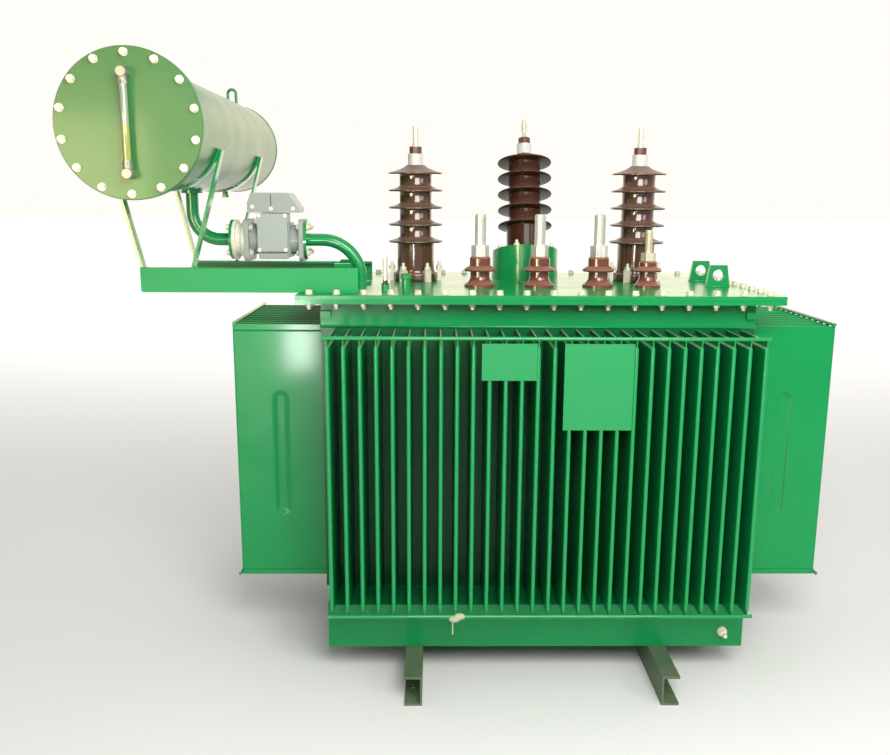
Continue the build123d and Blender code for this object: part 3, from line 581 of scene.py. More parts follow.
def ring_path(centre, first, second, radius, count=64):
    """Points round a circle in the plane of two directions, the first one repeated at the end."""
    turns = [math.tau * (index % count) / count for index in range(count + 1)]
    return [centre + radius * (math.cos(turn) * first + math.sin(turn) * second) for turn in turns]


def level_path(low, high, z):
    """The four corners of a level rectangle, the first one repeated at the end."""
    return [
        Vector((low[0], low[1], z)),
        Vector((high[0], low[1], z)),
        Vector((high[0], high[1], z)),
        Vector((low[0], high[1], z)),
        Vector((low[0], low[1], z)),
    ]


def box_piece(name, low, high, material, bevel=0.0):
    """A block between two corners, its edges eased."""
    corners = [(x, y, z) for x in (low[0], high[0]) for y in (low[1], high[1]) for z in (low[2], high[2])]
    faces = [(0, 1, 3, 2), (4, 6, 7, 5), (0, 4, 5, 1), (2, 3, 7, 6), (0, 2, 6, 4), (1, 5, 7, 3)]
    piece = new_piece(name, corners, faces, material)
    if bevel:
        ease = piece.modifiers.new("ease", "BEVEL")
        ease.width = bevel
        ease.segments = 3
    place(piece)


def colour_setting(label, description, default):
    """A colour that a user may change."""
    return FloatVectorProperty(name=label, description=description, subtype="COLOR", default=default)


def length_setting(label, description, default):
    """A length that a user may change."""
    return FloatProperty(name=label, description=description, default=default, unit="LENGTH")


def count_setting(label, description, default, least):
    """A count that a user may change."""
    return IntProperty(name=label, description=description, default=default, min=least)


def light_setting(label, description, default, unit="NONE"):
    """A number of the light or the camera that a user may change."""
    return FloatProperty(name=label, description=description, default=default, unit=unit)


class PaintSettings(bpy.types.PropertyGroup):
    """Colours of the finishes."""

    green: colour_setting("Tank green", "Gloss paint of the tank", (0.004, 0.29, 0.078))
    green_shade: colour_setting("Green shade", "Darker cloud in the paint", (0.003, 0.24, 0.062))
    # Pale colour on the fins' top edges: dust and a painted highlight.
    fin_dust_and_highlight: colour_setting("Fin dust", "Dust on the fins' top edges", (0.4, 0.45, 0.27))
    # The cover green is darker and yellower than the tank green: painted shade and a warm painted reflection.
    cover: colour_setting("Cover green", "Duller paint of the drum's cover", (0.04, 0.185, 0.042))
    drum: colour_setting("Drum green", "Paint of the drum", (0.02, 0.17, 0.047))
    drum_shade: colour_setting("Drum shade", "Darker cloud in the drum's paint", (0.016, 0.14, 0.04))
    # Rail green is much darker than the tank green: painted shadow under the tank, with real dust mixed in.
    rail: colour_setting("Rail green", "Paint of the base rails", (0.016, 0.085, 0.034))
    dust: colour_setting("Dust", "Dust on the base rails", (0.15, 0.165, 0.1))
    tag: colour_setting("Tag green", "The two blank tags", (0.012, 0.27, 0.08))
    glaze: colour_setting("Glaze", "Porcelain of the outer bushings", (0.06, 0.022, 0.012))
    glaze_edge: colour_setting("Glaze light", "Thinner glaze", (0.12, 0.05, 0.028))
    glaze_dust: colour_setting("Glaze dust", "Dust on the glaze", (0.2, 0.125, 0.08))
    # Darker than the outer glaze: painted shade on the middle bushing, which is seen from below.
    dark_glaze: colour_setting("Dark glaze", "Porcelain of the middle bushing", (0.035, 0.011, 0.006))
    dark_glaze_edge: colour_setting("Dark glaze light", "Thinner dark glaze", (0.07, 0.026, 0.014))
    dark_glaze_dust: colour_setting("Dark glaze dust", "Dust on the dark glaze", (0.12, 0.065, 0.04))
    red_glaze: colour_setting("Red glaze", "Porcelain of the low-voltage bushings", (0.11, 0.026, 0.014))
    red_glaze_edge: colour_setting("Red glaze light", "Thinner red glaze", (0.18, 0.05, 0.028))
    red_glaze_dust: colour_setting("Red glaze dust", "Dust on the red glaze", (0.26, 0.12, 0.075))
    plating: colour_setting("Plating", "Bolts, clamps and fittings", (0.84, 0.79, 0.63))
    tin: colour_setting("Tin", "Low-voltage studs", (0.74, 0.73, 0.66))
    brass: colour_setting("Brass", "Neutral stud", (0.66, 0.62, 0.46))
    gauge_metal: colour_setting("Gauge metal", "Fittings of the oil gauge", (0.36, 0.35, 0.29))
    valve: colour_setting("Valve cream", "Cast valve beside the relay", (0.84, 0.82, 0.68))
    relay: colour_setting("Relay grey", "Gas relay", (0.33, 0.375, 0.345))
    # Colour of a dark strip on the relay's head: painted shade in the split line.
    relay_gap: colour_setting("Relay gap", "Split line in the relay's head", (0.05, 0.07, 0.065))
    cap: colour_setting("Cap white", "High-voltage caps", (0.6, 0.61, 0.57))
    cap_nut: colour_setting("Cap nut", "Nuts on the high-voltage caps", (0.12, 0.04, 0.025))
    plug_ring: colour_setting("Plug ring", "Ring on the lid's plug", (0.06, 0.03, 0.02))
    glass: colour_setting("Glass", "Sight glass above the oil", (0.27, 0.33, 0.23))
    oil: colour_setting("Oil", "Oil in the sight glass", (0.33, 0.34, 0.09))
    putty: colour_setting("Putty", "Dry putty on the fin bar", (0.5, 0.52, 0.33))


class BoltSettings(bpy.types.PropertyGroup):
    """Sizes of the fasteners."""

    lid_count: count_setting("Lid bolts", "Bolts along the lid's front", 18, 4)
    lid_side_count: count_setting("Lid side bolts", "Bolts along a short side", 10, 3)
    lid_head: length_setting("Lid head", "Head radius on the lid", 0.0115)
    lid_inset: length_setting("Lid inset", "Bolt line from the lid's edge", 0.04)
    cover_count: count_setting("Cover bolts", "Bolts on the drum's cover", 14, 6)
    cover_head: length_setting("Cover head", "Head radius on the drum's cover", 0.0104)
    cover_circle: length_setting("Cover circle", "Radius of the cover's bolt circle", 0.1925)


class PorcelainSettings(bpy.types.PropertyGroup):
    """Profile of the high-voltage porcelain."""

    foot_radius: length_setting("Foot", "Radius of the foot", 0.082)
    foot_height: length_setting("Foot height", "Height of the foot", 0.03)
    lower_radius: length_setting("Lower body", "Radius below the sheds", 0.07)
    body_radius: length_setting("Body", "Radius between sheds", 0.061)
    neck_radius: length_setting("Neck", "Radius under the cap", 0.034)
    shed_count: count_setting("Sheds", "Number of sheds", 5, 1)
    shed_first: length_setting("First shed", "Height of the lowest shed", 0.149)
    shed_pitch: length_setting("Shed pitch", "From shed to shed", 0.062)
    shed_rise: length_setting("Shed rise", "From a shed's rim to its root", 0.009)
    shed_rim: length_setting("Shed rim", "Thickness of a shed's rim", 0.007)


class StageSettings(bpy.types.PropertyGroup):
    """Light and camera."""

    lens: light_setting("Lens", "Focal length on a 36 mm frame", 36.19, "CAMERA")
    key: light_setting("Key", "Power of the main light", 122.0, "POWER")
    warm: light_setting("Warm", "Power of the small warm light", 160.0, "POWER")
    low: light_setting("Low", "Power of the small low light", 62.0, "POWER")
    panel: light_setting("Panel", "Power of the panel seen in the gloss", 130.0, "POWER")
    front_sky: light_setting("Front sky", "Strength of the surroundings in front", 0.4)
    back_sky: light_setting("Back sky", "Strength of the surroundings behind", 1.0)
    back_tint: colour_setting("Back tint", "Warm tint of the light behind", (1.0, 0.98, 0.93))


class TRANSFORMER_OT_finishes(bpy.types.Operator):
    """Paint, glaze and plate every CAD node"""

    bl_idname = "transformer.finishes"
    bl_label = "Finishes"

    def execute(self, context):
        paint = context.scene.transformer_paint
        self.dress_by_slot(paint)
        self.dress_bushings(paint)
        self.dress_tank(paint)
        self.dress_conservator(paint)
        # The rails' dark green is painted shadow under the tank; the patches of dust are real.
        dusty = dusty_paint("dusty_rail_paint", paint.rail, paint.dust)
        dress(dusty, "left_base_rail", "right_base_rail")
        return {"FINISHED"}

    def dress_by_slot(self, paint):
        low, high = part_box("gauge_glass")
        glaze = brown_glaze("brown_porcelain_glaze", paint.glaze, paint.glaze_edge, paint.glaze_dust)
        by_slot = {
            "green_paint": gloss_paint("green_gloss_paint", paint.green, paint.green_shade, 0.2, 0.5),
            "porcelain": glaze,
            "zinc": plated_metal("zinc_plating", paint.plating, 0.15, 0.3),
            "tinned_copper": plated_metal("tinned_copper", paint.tin, 0.55, 0.22),
            "brass": plated_metal("dull_brass", paint.brass, 0.4, 0.3),
            "relay_grey": gloss_paint("relay_grey_paint", paint.relay, shaded(paint.relay, 0.88), 0.35, 0.1),
            "valve_cream": plated_metal("pale_cast_valve", paint.valve, 0.0, 0.45),
            "glass": sight_glass("sight_glass", 0.5 * (low.z + high.z), paint.glass, paint.oil),
        }
        for part in frame["record"]["subparts"]:
            if part["material_slot"] in by_slot:
                dress(by_slot[part["material_slot"]], part["node"])
        dress(plated_metal("dull_gauge_metal", paint.gauge_metal, 0.6, 0.35), "gauge_fittings")

    def dress_bushings(self, paint):
        dark = (paint.dark_glaze, paint.dark_glaze_edge, paint.dark_glaze_dust)
        # The middle bushing's darker glaze is painted shade on a bushing seen from below.
        dress(brown_glaze("dark_glaze", *dark, coat=0.12, specular=0.12), "middle_hv_bushing")
        red = brown_glaze("red_glaze", paint.red_glaze, paint.red_glaze_edge, paint.red_glaze_dust)
        dress(red, "lv_bushing_1", "lv_bushing_2", "lv_bushing_3", "neutral_bushing")
        terminal = (paint.cap, paint.cap_nut, paint.plating)
        for side in HV_SIDES:
            stud, axis = stud_line(f"{side}_hv_stud")
            bands = banded_cap(f"{side}_terminal_bands", stud, axis, terminal, (-0.049, -0.024))
            dress(bands, f"{side}_hv_terminal")
        foot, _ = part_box("lid_plug")
        plug = (paint.green, paint.plug_ring, paint.plating)
        dress(banded_cap("plug_bands", foot, Vector((0, 0, 1)), plug, (0.02, 0.034)), "lid_plug")

    def dress_tank(self, paint):
        fin_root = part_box("left_fin_wall")[1].y
        fin_tip = -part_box("front_fin_wall")[0].y
        dress(fin_paint("fin_paint", paint, fin_root, fin_tip), "front_fin_wall", "back_fin_wall")
        low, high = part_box("right_fin_wall")
        half_depth, half_height = 0.157, 0.454
        bead = ((high.x - half_depth, low.z + half_height), 0.2175, 0.022)
        side = gloss_paint("side_fin_paint", paint.green, paint.green_shade, 0.24, 0.2, 0.2, bead)
        dress(side, "left_fin_wall", "right_fin_wall")
        tank = gloss_paint("tank_paint", paint.green, paint.green_shade, 0.24, 0.2, 0.2)
        dress(tank, "tank_rim", "rim_cleats", "lid_gasket")
        # The base frame takes a darker copy of the tank green: painted shade low down by the floor.
        base = shaded(paint.green, 0.78)
        dress(gloss_paint("base_paint", base, shaded(base, 0.85), 0.24, 0.2, 0.2), "base_frame")
        dress(gloss_paint("lid_paint", paint.green, paint.green_shade, 0.16, 0.0, 0.5), "lid")

    def dress_conservator(self, paint):
        dress(gloss_paint("drum_paint", paint.drum, paint.drum_shade, 0.22, 0.06, 0.3), "conservator_drum")
        # Darker, yellower cover paint: painted shade and a warm painted reflection.
        cover = gloss_paint("cover_paint", paint.cover, shaded(paint.cover, 0.85), 0.37, 0.12, 0.44)
        dress(cover, "conservator_cover")
        # The beams take a lighter copy of the tank green: painted light on the high parts.
        lit_matt = gloss_paint("beam_paint", shaded(paint.green, 1.2), paint.green, 0.48, 0.0, 0.3)
        dress(lit_matt, "front_beam", "rear_beam")


class TRANSFORMER_OT_porcelain(bpy.types.Operator):
    """High-voltage porcelain with rounded sheds"""

    bl_idname = "transformer.porcelain"
    bl_label = "High-voltage porcelain"

    def execute(self, context):
        sizes = context.scene.transformer_porcelain
        low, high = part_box("left_hv_bushing")
        profile = porcelain_profile(sizes, 0.5 * (high.x - low.x), high.z - low.z)
        reach = MOUNTS["left_hv_stud"]["pos_m"][2] - low.z
        for side in HV_SIDES:
            stud, axis = stud_line(f"{side}_hv_stud")
            material = bpy.data.materials["dark_glaze" if side == "middle" else "brown_porcelain_glaze"]
            name, node = f"{side}_hv_porcelain", f"{side}_hv_bushing"
            put_turned(name, profile, stud - reach * axis, axis, material, node)
        return {"FINISHED"}


class TRANSFORMER_OT_lid_bolts(bpy.types.Operator):
    """Bolts round the lid, with nuts under the rim"""

    bl_idname = "transformer.lid_bolts"
    bl_label = "Lid bolts"

    def execute(self, context):
        sizes = context.scene.transformer_bolts
        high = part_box("lid")[1]
        half_x = high.x - sizes.lid_inset
        half_y = high.y - sizes.lid_inset
        rim_flange = 0.012
        flange_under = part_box("lid_gasket")[0].z - rim_flange
        spots = []
        for index in range(sizes.lid_count):
            x = half_x * (2 * index / (sizes.lid_count - 1) - 1)
            spots += [(x, -half_y), (x, half_y)]
        for index in range(1, sizes.lid_side_count - 1):
            y = half_y * (2 * index / (sizes.lid_side_count - 1) - 1)
            spots += [(-half_x, y), (half_x, y)]
        radius = sizes.lid_head
        heads = [((x, y, high.z), (0, 0, 1), 1.7 * x + 2.3 * y) for x, y in spots]
        nuts = [((x, y, flange_under), (0, 0, -1), 1.1 * x + 3.1 * y) for x, y in spots]
        put_bolts(
            "lid_bolt_heads",
            heads,
            head=(radius, 0.011),
            washer=(1.15 * radius, 0.002),
            end=(0.4 * radius, 0.0005),
        )
        put_bolts(
            "lid_bolt_nuts",
            nuts,
            head=(radius, 0.01),
            washer=(1.3 * radius, 0.002),
            end=(0.6 * radius, 0.009),
        )
        return {"FINISHED"}


class TRANSFORMER_OT_cover_bolts(bpy.types.Operator):
    """Bolts round the drum's front cover"""

    bl_idname = "transformer.cover_bolts"
    bl_label = "Cover bolts"

    def execute(self, context):
        sizes = context.scene.transformer_bolts
        low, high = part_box("conservator_cover")
        centre = 0.5 * (low + high)
        drum_flange = 0.016
        rows = []
        backs = []
        for index in range(sizes.cover_count):
            angle = math.tau * index / sizes.cover_count
            x = centre.x + sizes.cover_circle * math.sin(angle)
            z = centre.z + sizes.cover_circle * math.cos(angle)
            rows.append(((x, low.y, z), (0, -1, 0), angle))
            backs.append(((x, high.y + drum_flange, z), (0, 1, 0), angle))
        radius = sizes.cover_head
        put_bolts(
            "cover_bolts",
            rows,
            head=(radius, 0.01),
            washer=(1.15 * radius, 0.002),
            end=(0.5 * radius, 0.004),
        )
        put_bolts(
            "cover_nuts",
            backs,
            head=(0.8 * radius, 0.009),
            washer=(radius, 0.002),
            end=(0.5 * radius, 0.008),
        )
        return {"FINISHED"}


class TRANSFORMER_OT_pipe_bolts(bpy.types.Operator):
    """Bolts and nuts through the relay's and the pipes' flanges"""

    bl_idname = "transformer.pipe_bolts"
    bl_label = "Pipe bolts"

    def execute(self, context):
        valve_low, valve_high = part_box("pipe_valve")
        relay_low, relay_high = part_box("relay_body")
        axis = 0.5 * (valve_low + valve_high)
        flange = 0.015
        pipe_flange = 0.01
        reach = 0.0445
        heads = []
        nuts = []
        for across in (-reach, reach):
            for up in (-reach, reach):
                y = axis.y + across
                z = axis.z + up
                heads.append(((relay_low.x + flange, y, z), (1, 0, 0), 0.3))
                heads.append(((relay_high.x - flange, y, z), (-1, 0, 0), 0.3))
                nuts.append(((valve_low.x - pipe_flange, y, z), (-1, 0, 0), 0.2))
                nuts.append(((relay_high.x + pipe_flange, y, z), (1, 0, 0), 0.2))
        put_bolts(
            "relay_flange_bolts", heads, head=(0.011, 0.009), washer=(0.014, 0.002), end=(0.005, 0.001)
        )
        put_bolts(
            "pipe_flange_nuts", nuts, head=(0.01, 0.008), washer=(0.012, 0.0015), end=(0.0055, 0.004)
        )
        return {"FINISHED"}


class TRANSFORMER_OT_bushing_bolts(bpy.types.Operator):
    """Studs and nuts on the clamps of the outer bushings and on the turret's ring"""

    bl_idname = "transformer.bushing_bolts"
    bl_label = "Bushing bolts"

    def execute(self, context):
        clamp_count, clamp_inset, sink = 6, 0.008, 0.001
        rows = []
        for side in ("left", "right"):
            low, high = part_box(f"{side}_hv_clamps")
            centre = 0.5 * (low + high)
            radius = 0.5 * (high.x - low.x) - clamp_inset
            for index in range(clamp_count):
                angle = math.tau * index / clamp_count
                x = centre.x + radius * math.cos(angle)
                y = centre.y + radius * math.sin(angle)
                rows.append(((x, y, high.z - sink), (0, 0, 1), angle))
        put_bolts("clamp_nuts", rows, head=(0.0115, 0.01), washer=(0.0125, 0.003), end=(0.006, 0.014))
        turret_count, turret_inset = 8, 0.021
        _, axis = stud_line("middle_hv_stud")
        low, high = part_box("hv_turret")
        top = Vector((0.5 * (low.x + high.x), 0.5 * (low.y + high.y), 0))
        ring = 0.5 * (high.x - low.x) - turret_inset
        slope = axis.y / axis.z
        top.z = high.z - slope * 0.5 * (high.y - low.y)
        across = Vector((1, 0, 0))
        back = axis.cross(across)
        rows = []
        for index in range(turret_count):
            angle = math.tau * (index + 0.5) / turret_count
            spot = top + ring * (math.cos(angle) * across + math.sin(angle) * back)
            rows.append((spot, axis, angle))
        put_bolts("turret_nuts", rows, head=(0.0115, 0.01), washer=(0.014, 0.002), end=(0.006, 0.012))
        return {"FINISHED"}


class TRANSFORMER_OT_threads(bpy.types.Operator):
    """Threads on the terminal studs and the earth stud"""

    bl_idname = "transformer.threads"
    bl_label = "Stud threads"

    def execute(self, context):
        plating = bpy.data.materials["zinc_plating"]
        tin = bpy.data.materials["tinned_copper"]
        brass = bpy.data.materials["dull_brass"]
        sizes = (
            ("hv_stud_threads", [f"{side}_hv_stud" for side in HV_SIDES], 0.003, plating, "hv_cap"),
            ("lv_stud_threads", ("lv_stud_1", "lv_stud_2", "lv_stud_3"), 0.004, tin, "tinned_copper"),
            ("neutral_stud_threads", ("neutral_stud",), 0.0035, brass, "brass"),
            ("earth_stud_threads", ("earth_stud",), 0.002, plating, "zinc"),
        )
        plain_foot = 0.016
        for name, mounts, pitch, material, slot in sizes:
            rows = []
            for label in mounts:
                length = MOUNTS[label]["dims"]["length_mm"] / 1000 - plain_foot
                rows.append((*stud_line(label), length))
            radius = MOUNTS[mounts[0]]["dims"]["r_mm"] / 1000
            put_threads(name, rows, radius, pitch, material)
        spot = MOUNTS["earth_stud"]["pos_m"]
        nut_depth = 0.004
        put_bolts(
            "earth_nut",
            [((spot[0], spot[1] + nut_depth, spot[2]), (0, -1, 0), 0.4)],
            head=(0.012, 0.01),
            washer=(0.0145, 0.003),
            end=(0.0055, 0.0005),
        )
        return {"FINISHED"}


class TRANSFORMER_OT_seams(bpy.types.Operator):
    """Weld beads under the rim, round the turret and drum, and at the feet of lugs, beams and legs"""

    bl_idname = "transformer.seams"
    bl_label = "Weld seams"

    def execute(self, context):
        green = bpy.data.materials["green_gloss_paint"]
        lid_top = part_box("lid")[1].z
        wall_low, wall_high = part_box("front_fin_wall")
        cleat_reach, beam_start, drum_flange = 0.016, 0.004, 0.017
        half_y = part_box("rim_cleats")[1].y - cleat_reach
        rim = [level_path((wall_low.x, -half_y), (wall_high.x, half_y), wall_high.z)]
        put_seams("rim_seam", rim, 0.005, green)
        feet = []
        for lug in ("front_left", "back_left", "front_right", "back_right"):
            low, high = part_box(f"{lug}_lifting_lug")
            feet.append(level_path(low, high, lid_top))
        low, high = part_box("hv_turret")
        across, back, up = Vector((1, 0, 0)), Vector((0, 1, 0)), Vector((0, 0, 1))
        middle = Vector((0.5 * (low.x + high.x), 0.5 * (low.y + high.y), lid_top))
        feet.append(ring_path(middle, across, back, 0.5 * (high.x - low.x)))
        lid_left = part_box("lid")[0].x
        for beam in ("front_beam", "rear_beam"):
            low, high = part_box(beam)
            for y in (low.y, high.y):
                feet.append([Vector((lid_left + beam_start, y, lid_top)), Vector((high.x, y, lid_top))])
        put_seams("lid_seams", feet, 0.0032, green)
        low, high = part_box("conservator_drum")
        back_low, back_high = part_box("conservator_back")
        radius = 0.5 * (back_high.x - back_low.x)
        middle = 0.5 * (back_low + back_high)
        rings = []
        for y in (low.y + drum_flange, high.y):
            rings.append(ring_path(Vector((middle.x, y, middle.z)), across, up, radius))
        put_seams("drum_seams", rings, 0.0025, green)
        legs = []
        for name in ("front_left_leg", "front_right_leg", "rear_left_leg", "rear_right_leg"):
            foot = [vertex.co for vertex in NODES[name].data.vertices]
            bottom = min(point.z for point in foot)
            ends = [point for point in foot if point.z < bottom + 0.0005]
            low = (min(point.x for point in ends), min(point.y for point in ends))
            high = (max(point.x for point in ends), max(point.y for point in ends))
            legs.append(level_path(low, high, bottom))
        put_seams("leg_seams", legs, 0.0028, green)
        return {"FINISHED"}


class TRANSFORMER_OT_putty(bpy.types.Operator):
    """A dab and a run of dry putty on the lower front fin bar"""

    bl_idname = "transformer.putty"
    bl_label = "Dry putty"

    def execute(self, context):
        putty = plated_metal("dry_putty", context.scene.transformer_paint.putty, 0.0, 0.6)
        low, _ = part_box("front_fin_bars")
        spot = Vector((-0.262, low.y + 0.004, low.z + 0.007))
        dab = new_piece("putty_dab", [spot, spot + Vector((-0.016, -0.002, -0.008))], [])
        settle(dab, "soft_dabs", {"Radius": 0.0125, "Material": putty})
        place(dab)
        run = [spot + Vector((-0.022, -0.003, drop)) for drop in (-0.008, -0.035, -0.06)]
        put_seams("putty_run", [run], 0.0022, putty)
        return {"FINISHED"}


class TRANSFORMER_OT_tags(bpy.types.Operator):
    """Two blank green tags on the front fins"""

    bl_idname = "transformer.tags"
    bl_label = "Blank tags"

    def execute(self, context):
        paint = context.scene.transformer_paint
        tag = gloss_paint("tag_card", paint.tag, shaded(paint.tag, 0.94), 0.5, 0.0)
        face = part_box("front_fin_wall")[0].y
        below_bar, thickness, bow_depth, bow_length, columns = 0.02, 0.0012, 0.0016, 0.1, 24
        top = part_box("front_fin_bars")[1].z - below_bar
        tags = (("small_tag", -0.2, -0.03, 0.115), ("large_tag", 0.054, 0.268, 0.272))
        for name, left, right, tall in tags:
            rows = []
            for index in range(columns + 1):
                share = index / columns
                x = left + (right - left) * share
                bow = bow_depth * (1 - math.cos(math.tau * share * (right - left) / bow_length)) / 2
                rows.append((x, face - thickness + bow * 0.5))
            points = [(x, y, z) for z in (top - tall, top) for x, y in rows]
            step = columns + 1
            faces = [(i, i + 1, i + 1 + step, i + step) for i in range(columns)]
            piece = new_piece(name, points, faces, tag)
            sheet = piece.modifiers.new("sheet", "SOLIDIFY")
            sheet.thickness = thickness
            sheet.offset = 0.0
            place(piece)
        return {"FINISHED"}


class TRANSFORMER_OT_relay_trim(bpy.types.Operator):
    """Front cover, lip, split line and screws of the gas relay"""

    bl_idname = "transformer.relay_trim"
    bl_label = "Relay trim"

    def execute(self, context):
        paint = context.scene.transformer_paint
        grey = bpy.data.materials["relay_grey_paint"]
        pale = gloss_paint("relay_cover_paint", shaded(paint.relay, 1.16), paint.relay, 0.4, 0.1)
        dark, tree = new_material("relay_gap")
        close_material(tree, {"Base Color": rgba(paint.relay_gap), "Roughness": 0.7})
        body_low, body_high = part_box("relay_body")
        head_low, head_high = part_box("relay_head")
        middle = 0.5 * (body_low.x + body_high.x)
        front = head_low.y
        bottom = body_low.z
        box_piece(
            "relay_front_cover",
            (middle - 0.058, front - 0.008, bottom + 0.032),
            (middle + 0.05, front + 0.012, head_low.z - 0.002),
            pale,
            0.004,
        )
        box_piece(
            "relay_front_lip",
            (middle - 0.054, front - 0.003, bottom + 0.008),
            (middle + 0.05, front + 0.012, bottom + 0.028),
            grey,
            0.003,
        )
        # The split line is a dark strip on the head's face: painted shade in the gap between the head's
        # halves.
        box_piece(
            "relay_head_split",
            (middle - 0.0085, front - 0.0006, head_low.z + 0.022),
            (middle - 0.0055, front + 0.001, head_high.z - 0.006),
            dark,
        )
        screws = [
            ((middle - 0.007, front, head_low.z + 0.014), (0, -1, 0), 0.1),
            ((middle - 0.072, front, head_low.z + 0.02), (0, -1, 0), 0.6),
            ((middle + 0.07, front, head_low.z + 0.014), (0, -1, 0), 0.2),
        ]
        for across in (-0.05, 0.042):
            for up in (bottom + 0.04, head_low.z - 0.01):
                screws.append(((middle + across, front - 0.008, up), (0, -1, 0), across + up))
        put_bolts("relay_screws", screws, head=(0.0055, 0.003), washer=(0.007, 0.001), end=(0.003, 0.0006))
        return {"FINISHED"}


class TRANSFORMER_OT_gauge_trim(bpy.types.Operator):
    """Gland nuts of the oil gauge"""

    bl_idname = "transformer.gauge_trim"
    bl_label = "Gauge trim"

    def execute(self, context):
        glass_low, glass_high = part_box("gauge_glass")
        x = 0.5 * (glass_low.x + glass_high.x)
        y = 0.5 * (glass_low.y + glass_high.y)
        beyond = 0.004
        rows = [
            ((x, y, glass_low.z - beyond), (0, 0, 1), 0.2),
            ((x, y, glass_high.z + beyond), (0, 0, -1), 0.4),
        ]
        put_bolts(
            "gauge_gland_nuts",
            rows,
            head=(0.0135, 0.012),
            washer=(0.0125, 0.002),
            end=(0.0115, 0.004),
            material="dull_gauge_metal",
        )
        return {"FINISHED"}


class TRANSFORMER_OT_stage(bpy.types.Operator):
    """Floor, white surroundings, soft lights and the photograph's camera"""

    bl_idname = "transformer.stage"
    bl_label = "Stage"

    def execute(self, context):
        stage = context.scene.transformer_stage
        scene = context.scene
        floor_material, tree = new_material("pale_floor")
        _, ways = split_axes(tree)
        # The floor glows more towards the back: painted light that fades it into the white surroundings.
        glow = tree.mix(tree.ease(ways[1], -0.5, 7.0), (0.0, 0.0, 0.0, 1.0), (0.5, 0.5, 0.49, 1.0))
        close_material(
            tree,
            {
                "Base Color": (0.74, 0.74, 0.73, 1.0),
                "Roughness": 0.8,
                "Emission Color": glow,
                "Emission Strength": 1.0,
            },
        )
        reach = 60.0
        corners = [(-reach, -reach, 0), (reach, -reach, 0), (reach, reach, 0), (-reach, reach, 0)]
        floor = new_piece("studio_floor", corners, [(0, 1, 2, 3)], floor_material)
        world = bpy.data.worlds.new("white_surroundings")
        world.use_nodes = True
        sky = Tree(world.node_tree)
        _, ways = split_axes(sky, "Generated")
        depth = sky.ease(ways[1], -0.35, 0.45)
        tint = sky.mix(depth, (1.0, 1.0, 1.0, 1.0), rgba(stage.back_tint))
        strength = depth * (stage.back_sky - stage.front_sky) + stage.front_sky
        light = sky.node("ShaderNodeBackground", {}, {"Color": tint, "Strength": strength})
        sky.node("ShaderNodeOutputWorld", {}, {"Surface": light})
        scene.world = world
        scene.view_settings.view_transform = "Standard"
        self.add_lights(scene, stage)
        self.add_camera(scene, stage)
        return {"FINISHED"}

    def add_lights(self, scene, stage):
        white = (1.0, 0.99, 0.96)
        lit = Vector((0, 0, 0.8))
        for name, spot, size, power, colour in (
            ("key_light", (0.3, -3.0, 2.7), (1.8, 1.8), stage.key, white),
            ("right_light", (2.9, -3.2, 2.9), (1.6, 1.6), stage.key * 0.3, white),
            ("warm_light", (-3.0, -4.5, 1.5), (1.3, 1.3), stage.warm, (1.0, 0.84, 0.42)),
            ("low_light", (-1.58, -5.4, 0.42), (0.26, 0.8), stage.low, white),
            ("back_panel", (1.0, 6.0, 1.9), (12.0, 3.4), stage.panel, (1.0, 0.77, 0.5)),
        ):
            lamp = bpy.data.lights.new(name, "AREA")
            lamp.shape = "RECTANGLE"
            lamp.size, lamp.size_y = size
            lamp.energy = power
            lamp.color = colour
            holder = bpy.data.objects.new(name, lamp)
            holder.location = spot
            holder.visible_camera = False
            holder.visible_diffuse = name in ("key_light", "right_light")
            aim = lit - Vector(spot)
            holder.rotation_euler = aim.to_track_quat("-Z", "Y").to_euler()
            scene.collection.objects.link(holder)

    def add_camera(self, scene, stage):
        yaw, pitch, roll = 0.0132, 0.2006, 0.0051
        stand = (-0.3481, -3.3093, 1.5924)
        level = math.cos(pitch)
        forward = Vector((math.sin(yaw) * level, math.cos(yaw) * level, -math.sin(pitch)))
        right = Vector((math.cos(yaw), -math.sin(yaw), 0))
        up = right.cross(forward)
        turned_right = math.cos(roll) * right + math.sin(roll) * up
        turned_up = math.cos(roll) * up - math.sin(roll) * right
        view = bpy.data.cameras.new("photo_camera")
        view.sensor_width = 36.0
        view.sensor_fit = "HORIZONTAL"
        view.lens = stage.lens
        camera = bpy.data.objects.new("photo_camera", view)
        basis = Matrix((turned_right, turned_up, -forward)).transposed().to_4x4()
        camera.matrix_world = Matrix.Translation(stand) @ basis
        scene.collection.objects.link(camera)
        scene.camera = camera


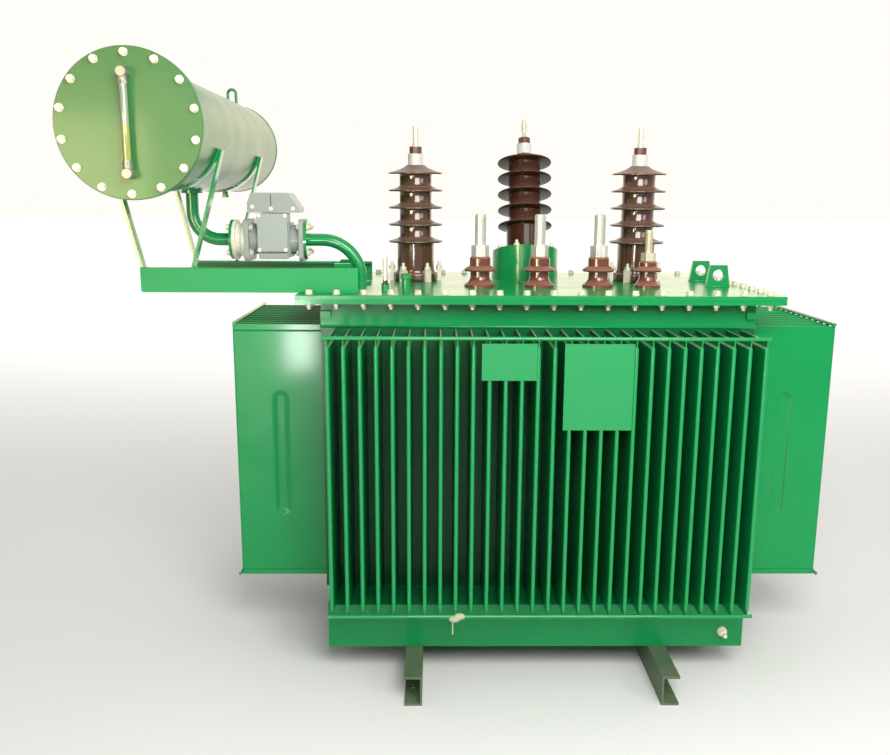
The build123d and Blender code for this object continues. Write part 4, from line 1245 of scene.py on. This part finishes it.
class TRANSFORMER_PT_dressing(bpy.types.Panel):
    """Lists the pieces that dress the transformer"""

    bl_label = "Transformer"
    bl_idname = "TRANSFORMER_PT_dressing"
    bl_space_type = "VIEW_3D"
    bl_region_type = "UI"
    bl_category = "Transformer"

    def draw(self, context):
        for operator in OPERATORS:
            self.layout.operator(operator.bl_idname)
        for group in SETTINGS:
            settings = getattr(context.scene, group)
            for name in settings.bl_rna.properties.keys():
                if name not in ("rna_type", "name"):
                    self.layout.prop(settings, name)


OPERATORS = (
    TRANSFORMER_OT_finishes,
    TRANSFORMER_OT_porcelain,
    TRANSFORMER_OT_lid_bolts,
    TRANSFORMER_OT_cover_bolts,
    TRANSFORMER_OT_pipe_bolts,
    TRANSFORMER_OT_bushing_bolts,
    TRANSFORMER_OT_threads,
    TRANSFORMER_OT_seams,
    TRANSFORMER_OT_putty,
    TRANSFORMER_OT_tags,
    TRANSFORMER_OT_relay_trim,
    TRANSFORMER_OT_gauge_trim,
    TRANSFORMER_OT_stage,
)
SETTINGS = {
    "transformer_paint": PaintSettings,
    "transformer_bolts": BoltSettings,
    "transformer_porcelain": PorcelainSettings,
    "transformer_stage": StageSettings,
}
CLASSES = (*SETTINGS.values(), *OPERATORS, TRANSFORMER_PT_dressing)


def register():
    for cls in CLASSES:
        bpy.utils.register_class(cls)
    for name, group in SETTINGS.items():
        setattr(bpy.types.Scene, name, PointerProperty(type=group))


def unregister():
    for name in SETTINGS:
        delattr(bpy.types.Scene, name)
    for cls in reversed(CLASSES):
        bpy.utils.unregister_class(cls)


def main():
    """Dress the transformer piece by piece."""
    register()
    bpy.ops.transformer.finishes()
    bpy.ops.transformer.porcelain()
    bpy.ops.transformer.lid_bolts()
    bpy.ops.transformer.cover_bolts()
    bpy.ops.transformer.pipe_bolts()
    bpy.ops.transformer.bushing_bolts()
    bpy.ops.transformer.threads()
    bpy.ops.transformer.seams()
    bpy.ops.transformer.putty()
    bpy.ops.transformer.tags()
    bpy.ops.transformer.relay_trim()
    bpy.ops.transformer.gauge_trim()
    bpy.ops.transformer.stage()


if __name__ == "__main__":
    main()
